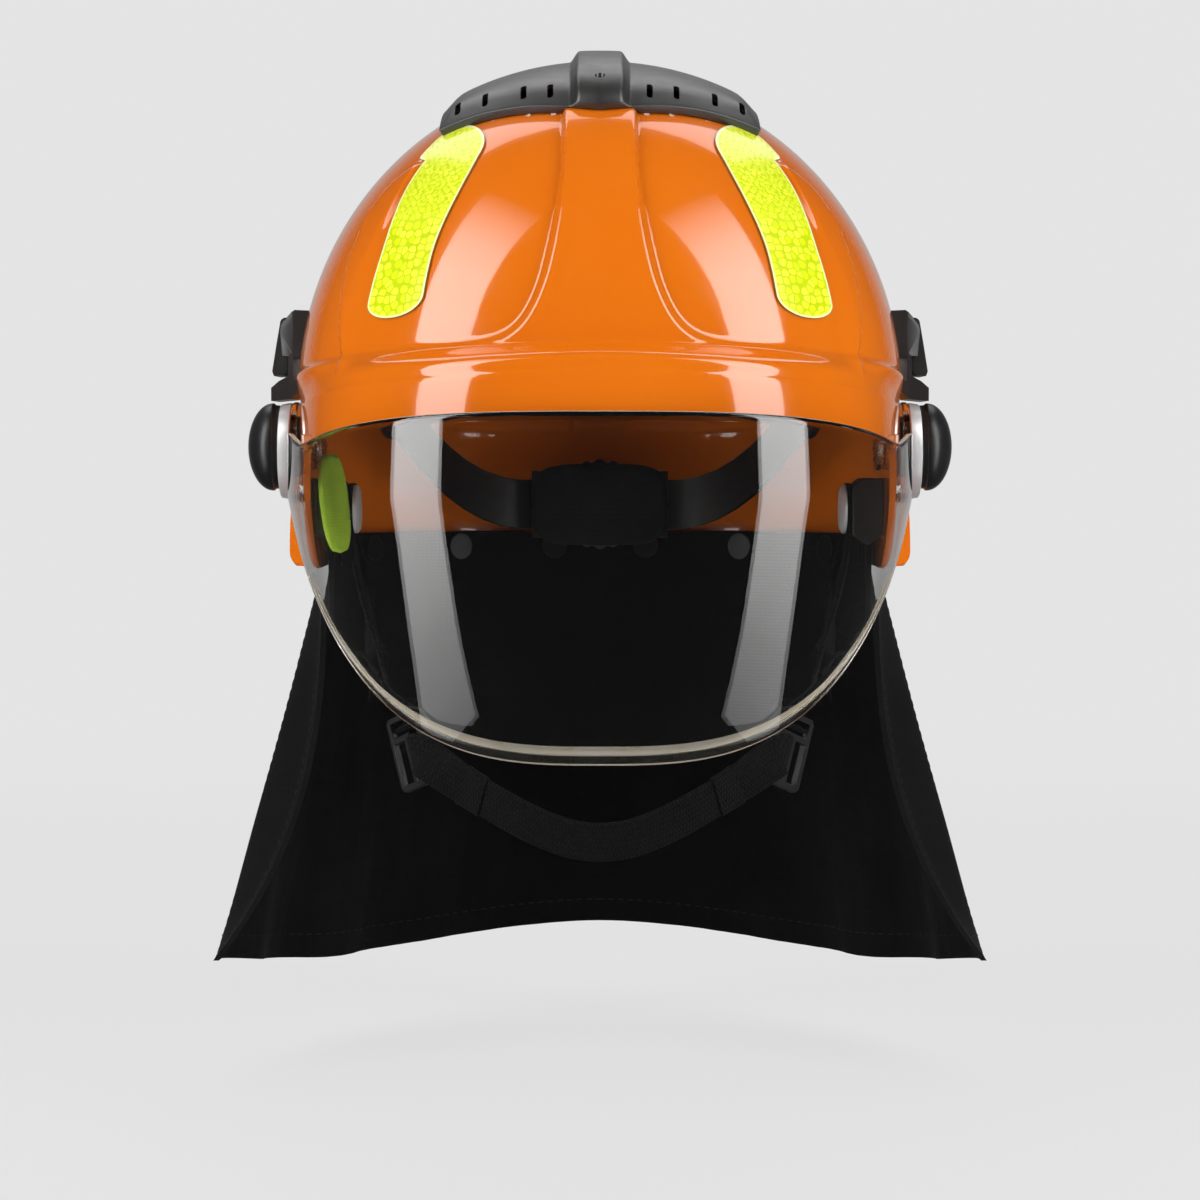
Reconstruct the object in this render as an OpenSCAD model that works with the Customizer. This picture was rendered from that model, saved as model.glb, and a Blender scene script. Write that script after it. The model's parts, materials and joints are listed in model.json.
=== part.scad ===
// Wildland fire helmet with a flip-up visor, in millimetres.
// The front faces -Y, the wearer's left is +X, and the origin is midway between the visor pivots.

/* [Shell] */
// Half width of the dome
dome_w = 115; // [113:0.5:117]
// Distance from the pivots to the front of the dome
dome_front = 124.5; // [122:0.5:125.5]
// Distance from the pivots to the back of the dome
dome_rear = 141; // [136:0.5:146]
// Height of the dome above its widest level
dome_h = 121.8; // [118:0.2:126]
// Height of the dome's widest level above the pivots
dome_z = 18; // [14:0.5:20]
// Wall of the moulded shell
wall = 3; // [2.4:0.1:3.4]
// Reach of the brim in front of the pivots
brim_front = 139; // [134:0.5:140]
// Height of the brim's lower edge at the front
brim_z = 12.2; // [10:0.2:13]
// Height of the shelf above the brim at the front
shelf_front = 33; // [30:0.5:35]
// Height of the shelf at the sides
shelf_side = 20; // [18:0.5:21]
// Height of the shelf at the back
shelf_rear = 8; // [4:0.5:12]
// Depth of the skirt below the pivots
skirt_z = 47; // [42:0.5:50]
// Half width of the skirt
skirt_w = 128; // [126:0.5:130]
// Reach of the skirt behind the pivots
skirt_rear = 150; // [147:0.5:154]
// Height of the raised panels
panel_h = 2.6; // [2:0.1:2.8]
// Half angle of the middle panel
panel_a = 9; // [7:0.5:10]
// Depth of each flat flank inside the dome's widest line
flank_in = 1.4; // [1:0.1:2]

/* [Crest] */
// Half width of the vent cover
crest_w = 57; // [54:0.5:60]
// Reach of the vent cover in front of the pivots
crest_front = 71; // [66:0.5:72]
// Reach of the vent cover behind the pivots
crest_rear = 76; // [70:0.5:82]
// Height of the vent cover above the shell
crest_h = 5.2; // [4.6:0.1:7]
// Extra height of the rib
rib_h = 4; // [3:0.1:5]
// Half width of the rib
rib_w = 9; // [7:0.5:10]
// Wall of the vent cover
crest_wall = 2; // [1.6:0.1:2.4]

/* [Visor] */
// Thickness of the friction washers behind the visor's lugs
washer_t = 1.4; // [1:0.1:1.6]
// Reach of the visor in front of the pivots
visor_front = 144.2; // [144:0.2:147]
// Depth of the visor below the pivots
visor_z = 111; // [100:1:114]
// Thickness of the visor
visor_t = 2.5; // [2:0.1:2.6]
// Thickness of the visor's rim
visor_rim = 3.8; // [3:0.1:4.2]
// Radius of the visor's lug over the pivot
lug_r = 17.2; // [16:0.1:17.4]
// Radius of the pivot stud
stud_r = 4; // [3.5:0.1:4.5]
// Radius of the bush in the lug
bush_r = 9; // [8:0.5:10]
// Radius of the side knob
knob_r = 16.75; // [15:0.25:17]
// Height of the side knob
knob_h = 12.4; // [10:0.2:14]
// Radius of the ring behind the knob
ring_r = 17; // [16:0.1:17.2]
// Thickness of the ring behind the knob
ring_t = 4.4; // [3.5:0.1:4.6]

/* [Side clip] */
// Front of the clip behind the pivots
clip_y = -5; // [-5:0.5:0]
// Length of the clip from front to back
clip_l = 32; // [26:1:36]
// Radius of the clip's hinge pin
pin_r = 1.2; // [1:0.1:1.4]

/* [Head harness] */
// Half width of the head opening
head_w = 78; // [72:0.5:82]
// Half length of the head opening
head_l = 98; // [92:0.5:100]
// Place of the head's middle behind the pivots
head_y = 5; // [3:0.5:7]
// Height of the headband
band_h = 26; // [22:1:30]
// Thickness of the headband
band_t = 1.8; // [1.4:0.1:2.2]
// Height of the headband's middle at the front
band_front = 34; // [32:0.5:35]
// Height of the headband's middle at the back
band_back = 16; // [15:0.5:18]
// Thickness of the sweatband
sweat_t = 5; // [3:0.5:6]
// Thickness of the impact liner
liner_t = 12; // [10:0.5:13]
// Width of the crown straps
crown_w = 22; // [18:1:26]
// Height of the temple pad
temple_h = 38; // [34:1:40]
// Width of the temple pad
temple_w = 22; // [18:1:24]
// Width of the harness webbing
web_w = 15; // [13:0.5:16]
// Thickness of the harness webbing
web_t = 1.4; // [1.2:0.1:1.6]

/* [Size adjuster] */
// Teeth on the pinion
pinion_n = 10; // [10:1:12]
// Module of the teeth
tooth_m = 1.2; // [1.1:0.05:1.25]
// Radius of the size knob
dial_r = 19; // [17:0.5:21]
// Depth of the size knob's grip
dial_h = 11; // [9:0.5:13]
// Height of the adjuster's middle below the pivots
nape_z = 24; // [20:1:28]

/* [Neck cape] */
// Depth of the cape's hem below the pivots
cape_z = 200; // [190:1:205]
// Half width between the cape's front corners
cape_w = 150.5; // [142:0.5:151]
// Reach of the cape's hem behind the pivots
cape_rear = 138; // [130:1:142]
// Thickness of the cape
cape_t = 2; // [1.6:0.1:2.4]

/* [Hidden] */

$fn = 48;
gap = 0.3;
seat = 0.4;
run = 0.06;
plan_n = 2.2;
brim_n = 2.3;
visor_n = 2.55;
// Distance from the middle to each flat flank, and from there to the visor's outside
flank_x = dome_w - flank_in;
play = 0.15;
visor_w = flank_x + washer_t + visor_t + 2 * play;
orange = [0.94, 0.42, 0.06];
dark = [0.13, 0.13, 0.14];
black = [0.05, 0.05, 0.055];
lime = [0.78, 0.95, 0.05];
grey = [0.6, 0.6, 0.62];

function clamp01(t) = max(0, min(1, t));
function smooth(t) = let (s = clamp01(t)) s * s * (3 - 2 * s);
function lerp(a, b, t) = a + (b - a) * t;

// Azimuth is 0 at the front and grows towards the wearer's left.
function oval(a, w, f, r, n) = pow(pow(abs(sin(a)) / w, n)
    + pow(abs(cos(a)) / (cos(a) > 0 ? f : r), n), -1 / n);
function spot(a, r, z) = [r * sin(a), -r * cos(a), z];

// Levels of the shell's lower edge, of the brim band and of the shelf above it
side_a = 62;
function edge_z(a) = let (b = abs(a)) b < side_a ? brim_z * (1 - pow(b / side_a, 2.4))
    : -skirt_z * smooth((b - side_a) / 30);
function shelf_z(a) = let (b = abs(a)) b < 90 ? lerp(shelf_front, shelf_side, pow(b / 90, 1.3))
    : lerp(shelf_side, shelf_rear, smooth((b - 90) / 90));
band_drop = 5.4;
function band_z(a) = shelf_z(a) - band_drop;
function edge_r(a) = let (b = abs(a)) lerp(oval(a, flank_x, brim_front, dome_rear, brim_n),
    oval(a, skirt_w, dome_front, skirt_rear, plan_n), smooth((b - 92) / 18));
function band_r(a) = let (b = abs(a)) edge_r(a) - 1.4 * (1 - smooth((b - 50) / 25))
    - 4.5 * smooth((b - 100) / 40) - 5 * smooth((b - 94) / 10) * (1 - smooth((b - 122) / 30));
function dome_r(a, z) = oval(a, dome_w, dome_front, dome_rear, plan_n)
    * sqrt(max(0, 1 - pow(max(0, z - dome_z) / dome_h, 2)));

// Raised panels: a middle band that widens into the shelf, and a leaf at each side
leaf_top = 106;
function panel_line(a) = let (b = abs(a)) shelf_z(a) + 14 * exp(-(b - panel_a) / 2.6);
function middle_lift(a, z) = let (b = abs(a) > 90 ? 180 - abs(a) : abs(a))
    max(1 - smooth((b - panel_a + 1.3) / 2.6), abs(a) > 90 ? 0 : 1 - smooth((z - panel_line(a)) / 3));
function leaf_in(z) = 44.2 + 5.3 * smooth((z - 84) / (leaf_top - 84));
function leaf_out(z) = 57 - 3.4 * smooth((z - 30) / 50);
function leaf_lift(a, z) = let (b = abs(a)) smooth((b - leaf_in(z)) / 2) * smooth((leaf_out(z) - b) / 2)
    * smooth((leaf_top - z) / 4);
function lift(a, z) = panel_h * middle_lift(a, z) + 0.5 * panel_h * leaf_lift(a, z);

// Flat flank for the visor's lug and the flat above it for the side clip
clip_low = 24;
flat_x = flank_x - 1.4;
function flat_at(z) = z > clip_low ? flat_x - 0.1 * (z - clip_low) : flat_x;
function near_clip(y, z) = smooth((y - clip_y + 14) / 7) * smooth((clip_end + 10 - y) / 8)
    * smooth((z - 17) / 6) * smooth((clip_top + 7 - z) / 6);
function flank_limit(y, z) = lerp(flank_x - 0.05 * max(0, z - 20), flat_at(z), near_clip(y, z))
    + 16 * smooth((y - clip_end - 3) / 22);
function flatten(p, d) = let (m = flank_limit(p[1], p[2]) - d) [sign(p[0]) * min(abs(p[0]), m), p[1], p[2]];

// One column of the shell at azimuth a, from the edge up, moved inwards by d
dome_rows = 12;
function shell_column(a, d) =
    let (z0 = edge_z(a), z1 = band_z(a), z2 = shelf_z(a), e0 = asin((z2 + 4 - dome_z) / dome_h))
    concat(
        [for (k = [0:3]) let (t = k / 3, r = lerp(edge_r(a), band_r(a), t * t))
            flatten(spot(a, r - d, lerp(z0, z1, t)), d)],
        [flatten(spot(a, max(band_r(a) - 0.8, dome_r(a, z2) + 0.3) - d, z2 - 0.9 - 0.3 * d), d),
            flatten(spot(a, dome_r(a, z2) + lift(a, z2 + 3) - d, z2 + 3 - 0.3 * d), d)],
        [for (k = [1:dome_rows]) let (e = lerp(e0, 90, k / (dome_rows + 1)), z = dome_z + dome_h * sin(e),
            r = dome_r(a, z) + lift(a, z) * cos(e) - d * cos(e))
            flatten(spot(a, r, z + lift(a, z) * sin(e) - d * sin(e)), d)]);
half_az = [0, 4.5, panel_a - 1.4, panel_a + 1.4, 14, 20, 26, 32, 38, 43.6, 46.4, 50, 53.6, 57, 62, 67, 72,
    77, 81, 85, 89, 93, 97, 101, 105, 110, 117, 126, 136, 147, 158, 169.6, 172.4, 180];
last_az = len(half_az) - 1;
azimuths = concat(half_az, [for (k = [last_az - 1:-1:1]) -half_az[k]]);

// Solids from a grid of columns: an outer grid, an inner grid of the same size, and edges between
function quad(a, b, c, d) = [[a, b, c], [a, c, d]];
module sheet(outer, inner, ring = false, apex = []) {
    nu = len(outer);
    nv = len(outer[0]);
    m = nu * nv;
    function id(i, j) = (i % nu) * nv + j;
    ends = ring ? nu - 1 : nu - 2;
    capped = len(apex) > 0;
    faces = concat(
        [for (i = [0:ends], j = [0:nv - 2]) each quad(id(i, j), id(i, j + 1), id(i + 1, j + 1), id(i + 1, j))],
        [for (i = [0:ends], j = [0:nv - 2])
            each quad(m + id(i, j), m + id(i + 1, j), m + id(i + 1, j + 1), m + id(i, j + 1))],
        [for (i = [0:ends]) each quad(id(i, 0), id(i + 1, 0), m + id(i + 1, 0), m + id(i, 0))],
        capped ? [for (i = [0:ends]) each [[id(i, nv - 1), 2 * m, id(i + 1, nv - 1)],
            [m + id(i, nv - 1), m + id(i + 1, nv - 1), 2 * m + 1]]]
        : [for (i = [0:ends])
            each quad(id(i + 1, nv - 1), id(i, nv - 1), m + id(i, nv - 1), m + id(i + 1, nv - 1))],
        ring ? [] : [for (j = [0:nv - 2]) each concat(
            quad(id(0, j + 1), id(0, j), m + id(0, j), m + id(0, j + 1)),
            quad(id(nu - 1, j), id(nu - 1, j + 1), m + id(nu - 1, j + 1), m + id(nu - 1, j)))]);
    polyhedron(concat([for (c = outer) each c], [for (c = inner) each c], apex), faces);
}

// A strap along a route, with its width along wide and its thickness along thin at each point
module ribbon(route, wide, thin, w, t) {
    n = len(route);
    outer = [for (i = [0:n - 1]) [for (s = [-0.5, 0.5]) route[i] + s * w * wide[i] + 0.5 * t * thin[i]]];
    inner = [for (i = [0:n - 1]) [for (s = [-0.5, 0.5]) route[i] + s * w * wide[i] - 0.5 * t * thin[i]]];
    sheet(outer, inner);
}
module both(side) {
    if (side == "left") children();
    else mirror([1, 0, 0]) children();
}
// A turned piece on the pivot axis at the wearer's left
module turned(x = 0) translate([x, 0, 0]) rotate([0, 90, 0]) rotate_extrude($fn = 64) children();
module along_x(r, x0, x1) translate([x0, 0, 0]) rotate([0, 90, 0]) cylinder(r = r, h = x1 - x0);
// An outline in X and Z, carried along Y
module along_y(y0, y1) translate([0, y1, 0]) rotate([90, 0, 0]) linear_extrude(y1 - y0) children();

// Shell: dome, brim, skirt, vents under the crest and the holes for the pivots
vent_l = 22;
module shell() {
    outer = [for (a = azimuths) shell_column(a, 0)];
    inner = [for (a = azimuths) shell_column(a, wall)];
    color(orange) difference() {
        sheet(outer, inner, true, [[0, 0, dome_z + dome_h + panel_h], [0, 0, dome_z + dome_h - wall]]);
        for (s = [-1, 1], k = [0:3]) translate([s * (18 + 10 * k), 0, dome_z]) hull() {
            translate([0, vent_l / 2, 0]) cylinder(r = 2.2, h = dome_h * 1.2, $fn = 16);
            translate([0, -vent_l / 2, 0]) cylinder(r = 2.2, h = dome_h * 1.2, $fn = 16);
        }
        for (s = [-1, 1]) translate([s * flank_x, 0, 0]) rotate([0, 90, 0])
            cylinder(r = stud_r + 0.3, h = 16, center = true, $fn = 32);
        for (p = screw_spots, s = [-1, 1]) translate([s * flat_at(p[1]), p[0], p[1]]) rotate([0, 90, 0])
            cylinder(r = screw_r + 0.3, h = 16, center = true, $fn = 16);
        translate([0, screw_y, dome_z]) cylinder(r = screw_r + 0.3, h = 2 * dome_h, $fn = 16);
    }
}

// Vent cover on the crown, with a rib along its middle and slots in its front and back
function dome_top(x, y) = let (b = y < 0 ? dome_front : dome_rear,
    q = pow(pow(abs(x) / dome_w, plan_n) + pow(abs(y) / b, plan_n), 2 / plan_n))
    dome_z + dome_h * sqrt(max(0.01, 1 - q));
function dome_slope(x, y) = let (h = 2, c = dome_top(x, y),
    g = [dome_top(x - h, y) - dome_top(x + h, y), dome_top(x, y - h) - dome_top(x, y + h), 2 * h])
    g / norm(g);
function dome_at(x, y, d) = [x, y, dome_top(x, y)] + d * dome_slope(x, y);
function crest_y0(x) = -crest_front + 19 * pow(abs(x) / crest_w, 1.25);
function crest_y1(x) = crest_rear - 14 * pow(abs(x) / crest_w, 2);
crest_edge = 2.4;
crest_taper = 0.13;
function crest_half(y) = crest_w
    * (1 - crest_taper * pow(clamp01((y + crest_front) / (crest_front + crest_rear)), 2));
function rib(x) = rib_h * (1 - smooth((abs(x) - rib_w + 2) / 4));
function crest_rise(x, y) = crest_edge + panel_h * 0.4 + (crest_h - crest_edge) * min(
    smooth((y - crest_y0(x)) / 10), smooth((crest_y1(x) - y) / 10), smooth((crest_half(y) - abs(x)) / 7))
    + rib(x) * smooth((y - crest_y0(x) + 5) / 9) * smooth((crest_y1(x) - y + 5) / 9);
crest_us = [-1, -0.96, -0.91, -0.8, -0.68, -0.56, -0.44, -0.32, -0.22, -0.18, -0.145, -0.11, -0.05];
crest_vs = [0, 0.03, 0.07, 0.12, 0.2, 0.3, 0.42, 0.5];
function mirrored(v) = concat(v, [for (k = [len(v) - 1:-1:0]) -v[k]]);
function crest_grid(top) = let (us = mirrored(crest_us), nv = len(crest_vs),
    vs = concat(crest_vs, [for (k = [nv - 2:-1:0]) 1 - crest_vs[k]]))
    [for (u = us) [for (k = [0:len(vs) - 1]) let (v = vs[k],
        x = u * crest_w * (1 - crest_taper * v * v), y = lerp(crest_y0(x), crest_y1(x), v),
        rim = v == 0 || v == 1 || abs(u) == 1,
        d = top ? crest_rise(x, y) : rim ? seat + lift(atan2(x, -y), dome_top(x, y)) : max(
            seat + panel_h, crest_rise(x, y) - crest_wall))
        dome_at(x, y, d)]];
slot_w = 1.8;
slot_l = 4.6;
slot_xs = [17.6, 27.2, 40.2, 50.6];
module crest_slot(x, front) {
    y = front ? crest_y0(x) + 6 : crest_y1(x) - 6;
    n = dome_slope(x, y);
    f = front ? -1 : 1;
    for (s = [-0.5, 0.5]) translate([x + s, y - f * s * slot_l, dome_top(x, y) + 1 + s * slot_l * 0.7])
        rotate([-f * 50, 0, 0]) cylinder(r = slot_w / 2, h = 12, $fn = 12);
}
module vent_crest() {
    color(dark) difference() {
        sheet(crest_grid(true), crest_grid(false));
        for (x = slot_xs, s = [-1, 1], front = [true, false]) hull() {
            if (s > 0) crest_slot(x, front);
            else mirror([1, 0, 0]) crest_slot(x, front);
        }
        translate([0, screw_y, 0]) cylinder(r = screw_r + 0.3, h = 200, $fn = 24);
        translate([0, screw_y, screw_seat]) cylinder(r = 3.6, h = 20, $fn = 24);
    }
}
screw_r = 1.5;
screw_y = -crest_front + 7;
screw_seat = dome_top(0, screw_y) + crest_rise(0, screw_y) - 1.6;
screw_l = screw_seat - dome_top(0, screw_y) + wall;
module crest_screw() {
    color(black) translate([0, screw_y, screw_seat]) {
        translate([0, 0, -screw_l]) cylinder(r = screw_r, h = screw_l + 0.5);
        cylinder(r1 = 3.2, r2 = 2.6, h = 1.8);
    }
}

// Reflective stickers that follow the dome between two meridians
sticker_t = 0.4;
sticker_low = 45;
sticker_top = 114;
function sticker_in(t) = 30.6 + 1.8 * smooth((t - 0.8) / 0.2) + 1.6 * smooth((0.15 - t) / 0.15)
    + 4.5 * pow(clamp01((t - 0.93) / 0.07), 2);
function sticker_out(t) = 43.4 + 7.2 * smooth((t - 0.74) / 0.2) - 4 * pow(clamp01((0.1 - t) / 0.1), 2)
    - 6 * pow(clamp01((t - 0.96) / 0.04), 2);
module reflective_sticker(side) {
    function grid(d) = [for (u = [0:4]) [for (k = [0:14])
        let (t = k / 14, z = lerp(sticker_low, sticker_top, t), a = lerp(sticker_in(t), sticker_out(t), u / 4),
        c = dome_r(a, z) / dome_r(a, dome_z), s = (z - dome_z) / dome_h)
        spot(a, dome_r(a, z) + d * c, z + d * s)]];
    both(side) color(lime) sheet(grid(seat + sticker_t), grid(seat));
}

// Foam liner under the dome
liner_low = 60;
module impact_liner() {
    cols = [for (k = [0:35]) 10 * k];
    function column(a, d) = let (e0 = asin((liner_low - dome_z) / dome_h)) [for (k = [0:8])
        let (e = lerp(e0, 90, k / 9), z = dome_z + dome_h * sin(e), f = wall + 1
        + d * lerp(0.5, 1, smooth(k / 3))) spot(a, (oval(a, dome_w, dome_front, dome_rear, plan_n)
        - f) * cos(e), z - f * sin(e))];
    top = dome_z + dome_h - wall - 1;
    color(black) sheet([for (a = cols) column(a, 0)], [for (a = cols) column(a, liner_t)],
        true, [[0, 0, top], [0, 0, top - liner_t]]);
}

// Route round the head: offset d outwards from the head's oval
function head_spot(a, d, z) = let (r = oval(a, head_w + d, head_l + d, head_l + d, plan_n))
    [r * sin(a), head_y - r * cos(a), z];
function head_out(a) = let (p = head_spot(a + 1, 0, 0) - head_spot(a - 1, 0, 0)) [p[1], -p[0], 0] / norm(p);
function band_level(a) = lerp(band_front, band_back, smooth(abs(a) / 110));
band_end = 112;
module headband() {
    as = [for (k = [-14:14]) k * band_end / 14];
    color(black) ribbon([for (a = as) head_spot(a, sweat_t + gap + band_t / 2, band_level(a))],
        [for (a = as) [0, 0, 1]], [for (a = as) head_out(a)], band_h, band_t);
}
module sweatband() {
    as = [for (k = [-9:9]) k * 8];
    color(dark) ribbon([for (a = as) head_spot(a, sweat_t / 2, band_level(a))],
        [for (a = as) [0, 0, 1]], [for (a = as) head_out(a)], band_h + 6, sweat_t);
}
// Two straps that cross over the crown, and the clips that hold their ends
crown_top = dome_z + dome_h - wall - 1 - liner_t - 8;
crown_low = 39.5;
crown_d = 11.5;
strap_az = [38, 142];
function crown_spot(a, t, d) = let (e = 90 * t, p = head_spot(a, crown_d - 13 * smooth((e - 6) / 24), 0))
    [p[0] * cos(e), head_y + (p[1] - head_y) * cos(e), crown_low + (crown_top - crown_low + d) * sin(e)];
module crown_strap(a, lift_mid) {
    ts = [for (k = [-9:9]) k / 9];
    route = [for (t = ts) t < 0 ? crown_spot(a, 1 + t, lift_mid) : crown_spot(a + 180, 1 - t, lift_mid)];
    wide = [for (t = ts) [cos(a), sin(a), 0]];
    n = len(route);
    thin = [for (i = [0:n - 1]) let (d = route[min(n - 1, i + 1)] - route[max(0, i - 1)], c = cross(wide[i], d))
        -c / norm(c)];
    ribbon(route, wide, thin, crown_w, web_t);
}
module crown_straps() {
    color(dark) {
        crown_strap(strap_az[0], 0);
        crown_strap(-strap_az[0], web_t + 0.6);
    }
}
crown_pad_r = 28;
crown_pad_h = 9.4;
module crown_pad() {
    low = crown_pad_h / 3;
    color(black) translate([0, head_y, crown_top - web_t / 2 - gap - crown_pad_h]) {
        cylinder(r1 = crown_pad_r - 3, r2 = crown_pad_r, h = low);
        translate([0, 0, low]) cylinder(r1 = crown_pad_r, r2 = 4, h = crown_pad_h - low);
    }
}
// Each clip's tongue reaches out to the shell's inside
tongue_z = 37;
tongue_h = 3;
module clip_tongue(a) {
    function reach(b) = spot(b, dome_r(b, tongue_z + tongue_h + 1) - wall - (abs(a) > 90 ? 1.2 : 0.5), 0);
    p = head_spot(a, crown_d + 2.3, 0);
    w = [cos(a), sin(a), 0];
    translate([0, 0, tongue_z]) linear_extrude(tongue_h) polygon([for (q = [p + 7 * w, reach(a + 3),
        reach(a), reach(a - 3), p - 7 * w]) [q[0], q[1]]]);
}
module crown_clips() {
    color(black) for (a = [strap_az[0], strap_az[1], -strap_az[0], -strap_az[1]]) union() {
        clip_tongue(a);
        p = head_spot(a, crown_d, 38);
        translate(p) rotate([0, 0, a - 90]) difference() {
            translate([-2.8, -crown_w / 2 - 3, -8]) cube([5.4, crown_w + 6, 14]);
            hull() {
                translate([-1.2, -crown_w / 2 - 1, 1]) cube([2.4, crown_w + 2, 1]);
                translate([-4, -crown_w / 2 - 1, 8]) cube([5.2, crown_w + 2, 1]);
            }
        }
    }
}

// Size adjuster: a pinion on the knob drives the toothed ends of both nape straps
pitch_r = tooth_m * pinion_n / 2;
press_a = 25;
base_r = pitch_r * cos(press_a);
tip_r = pitch_r + 0.75 * tooth_m;
root_r = pitch_r - 1.0 * tooth_m;
backlash = 0.3;
function inv_a(r) = r <= base_r ? 0 : let (q = sqrt(r * r / (base_r * base_r) - 1)) q * 180 / PI - atan(q);
flank_a = 90 / pinion_n - backlash / pitch_r * 90 / PI + inv_a(pitch_r);
module pinion_outline() {
    rs = [for (k = [0:4]) lerp(base_r + 0.02, tip_r, k / 4)];
    polygon([for (k = [0:pinion_n - 1]) let (c = 90 + 360 * k / pinion_n) each concat(
        [root_r * [cos(c - flank_a - 1), sin(c - flank_a - 1)]],
        [for (r = rs) r * [cos(c - flank_a + inv_a(r)), sin(c - flank_a + inv_a(r))]],
        [for (j = [4:-1:0]) let (r = rs[j]) r * [cos(c + flank_a - inv_a(r)), sin(c + flank_a - inv_a(r))]],
        [root_r * [cos(c + flank_a + 1), sin(c + flank_a + 1)]])]);
}
rack_pitch = PI * tooth_m;
rack_n = 7;
// A rack tooth points down to the pinion and its flanks lean at the pressure angle
module rack_teeth() {
    hw = rack_pitch / 4 - backlash / 2;
    lo = 0.7 * tooth_m;
    hi = 1.1 * tooth_m;
    wide = hw + hi * tan(press_a);
    narrow = hw - lo * tan(press_a);
    for (k = [-4 : rack_n - 5]) translate([(k + 0.5) * rack_pitch, pitch_r])
        polygon([[-wide, hi + 0.6], [-wide, hi], [-narrow, -lo], [narrow, -lo], [wide, hi], [wide, hi + 0.6]]);
}
nape_y = head_y + head_l + 4.5;
rack_t = 2.2;
rack_z = pitch_r + 1.1 * tooth_m;
window = 17;
module rack_plate() {
    difference() {
        translate([-window - 5, -rack_z - 3]) square([2 * window + 27, 2 * rack_z + 6]);
        translate([-window, -rack_z]) square([2 * window, 2 * rack_z]);
    }
    rack_teeth();
}
strap_start = 34;
strap_d = sweat_t + gap + band_t + gap + rack_t / 2;
strap_h = 2 * rack_z + 6;
module nape_strap(side) {
    y = side == "left" ? nape_y + 2.5 : nape_y + 2.5 + rack_t + 0.4;
    f = side == "left" ? 0 : 1;
    a0 = 180 - atan2(strap_start, nape_y + 3 - head_y);
    route = [for (k = [0:10]) let (t = k / 10, a = lerp(a0, band_end - 5, t), p = head_spot(a, strap_d, 0))
        t == 0 ? [strap_start, y + rack_t / 2, -nape_z]
        : [p[0], lerp(p[1], y + rack_t / 2, pow(1 - t, 4)), lerp(-nape_z, band_level(band_end), smooth(t))]];
    n = len(route);
    thin = [for (i = [0:n - 1]) let (d = route[min(n - 1, i + 1)] - route[max(0, i - 1)]) i == 0 ? [0, 1, 0]
        : [-d[1], d[0], 0] / norm([d[0], d[1]])];
    both(side) color(black) union() {
        translate([0, y + rack_t, -nape_z]) rotate([90, 0, 0]) linear_extrude(rack_t) mirror([0, f, 0])
            rack_plate();
        ribbon(route, [for (p = route) [0, 0, 1]], [for (v = thin) -v], strap_h, rack_t);
    }
}
hub_r = 8;
housing_w = 29;
housing_h = 28;
inner_h = rack_z + 3.6;
module size_housing() {
    color(black) translate([0, nape_y, -nape_z]) rotate([90, 0, 0]) translate([0, 0, -8.2]) difference() {
        linear_extrude(8.2) square([2 * housing_w, housing_h], center = true);
        translate([0, 0, -1]) linear_extrude(7.2) square([2 * housing_w + 2, 2 * inner_h], center = true);
    }
}
module size_cover() {
    color(black) translate([0, nape_y + 8.2, -nape_z]) rotate([-90, 0, 0]) difference() {
        linear_extrude(2) square([2 * housing_w, housing_h], center = true);
        translate([0, 0, -1]) cylinder(r = hub_r + run, h = 4);
    }
}
scallops = 18;
module size_knob() {
    color(dark) translate([0, nape_y, -nape_z]) rotate([90, 0, 0]) {
        translate([0, 0, -7.9]) linear_extrude(5.6) pinion_outline();
        translate([0, 0, -10.6]) cylinder(r = hub_r, h = 2.8);
        translate([0, 0, -10.5 - dial_h]) difference() {
            cylinder(r = dial_r, h = dial_h);
            for (k = [1:scallops]) rotate([0, 0, k * 360 / scallops]) translate([dial_r + 1.3, 0, -1])
                cylinder(r = 2.4, h = dial_h + 2, $fn = 20);
            translate([0, 0, -1]) cylinder(r = dial_r - 6, h = 3);
        }
    }
}
module nape_pad() {
    color(dark) translate([0, nape_y - gap - 4, -nape_z]) rotate([90, 0, 0]) translate([0, 0, -4])
        linear_extrude(4) offset(r = 5) square([2 * housing_w - 10, housing_h - 4], center = true);
}

// Visor: a sheet curved both ways, with a thicker rim and a round lug over each pivot
function visor_d(z) = visor_front - 30 * pow(max(0, brim_z - z) / (visor_z + brim_z), 2.2);
function visor_hw(z) = visor_w - 18 * pow(max(0, -18 - z) / (visor_z - 18), 0.98);
low_r = lug_r * 1.25;
function visor_y0(f) = -visor_front * pow(max(0, cos(f)), 2 / visor_n);
function round_z(y, r) = abs(y) >= lug_r ? 0 : r * sqrt(1 - pow(y / lug_r, 2));
function visor_top(f) = let (b = abs(f)) max(round_z(visor_y0(f), lug_r),
    brim_z * (1 - pow(min(b, 64) / 64, 2.4)) + 5 * smooth((b - 58) / 20));
function visor_low(f) = min(-round_z(visor_y0(f), low_r), -visor_z * (1 - pow(abs(f) / 90, 2.15)));
function visor_point(f, z, d) = [sign(f) * (visor_hw(z) - d) * pow(abs(sin(f)), 2 / visor_n),
    -(visor_d(z) - d) * pow(max(0, cos(f)), 2 / visor_n), z];
lug_ys = [5, 9.5, 13, 15.5, lug_r - 0.3];
visor_fs = [0, 7, 14, 21, 28, 35, 42, 49, 56, 62, 67, 71.5, 75.5, 79, 81.5, 83.5, 85, 86.2, 87.4, 88.6, 90];
visor_rows = 9;
function visor_column(f, d, rim) = [for (k = [0:visor_rows]) let (t = k == 1 ? 0.035 : max(0, (k - 1) /
    (visor_rows - 1))) visor_point(f, lerp(visor_low(f), visor_top(f), t), k <= 1 ? rim : d)];
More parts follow.
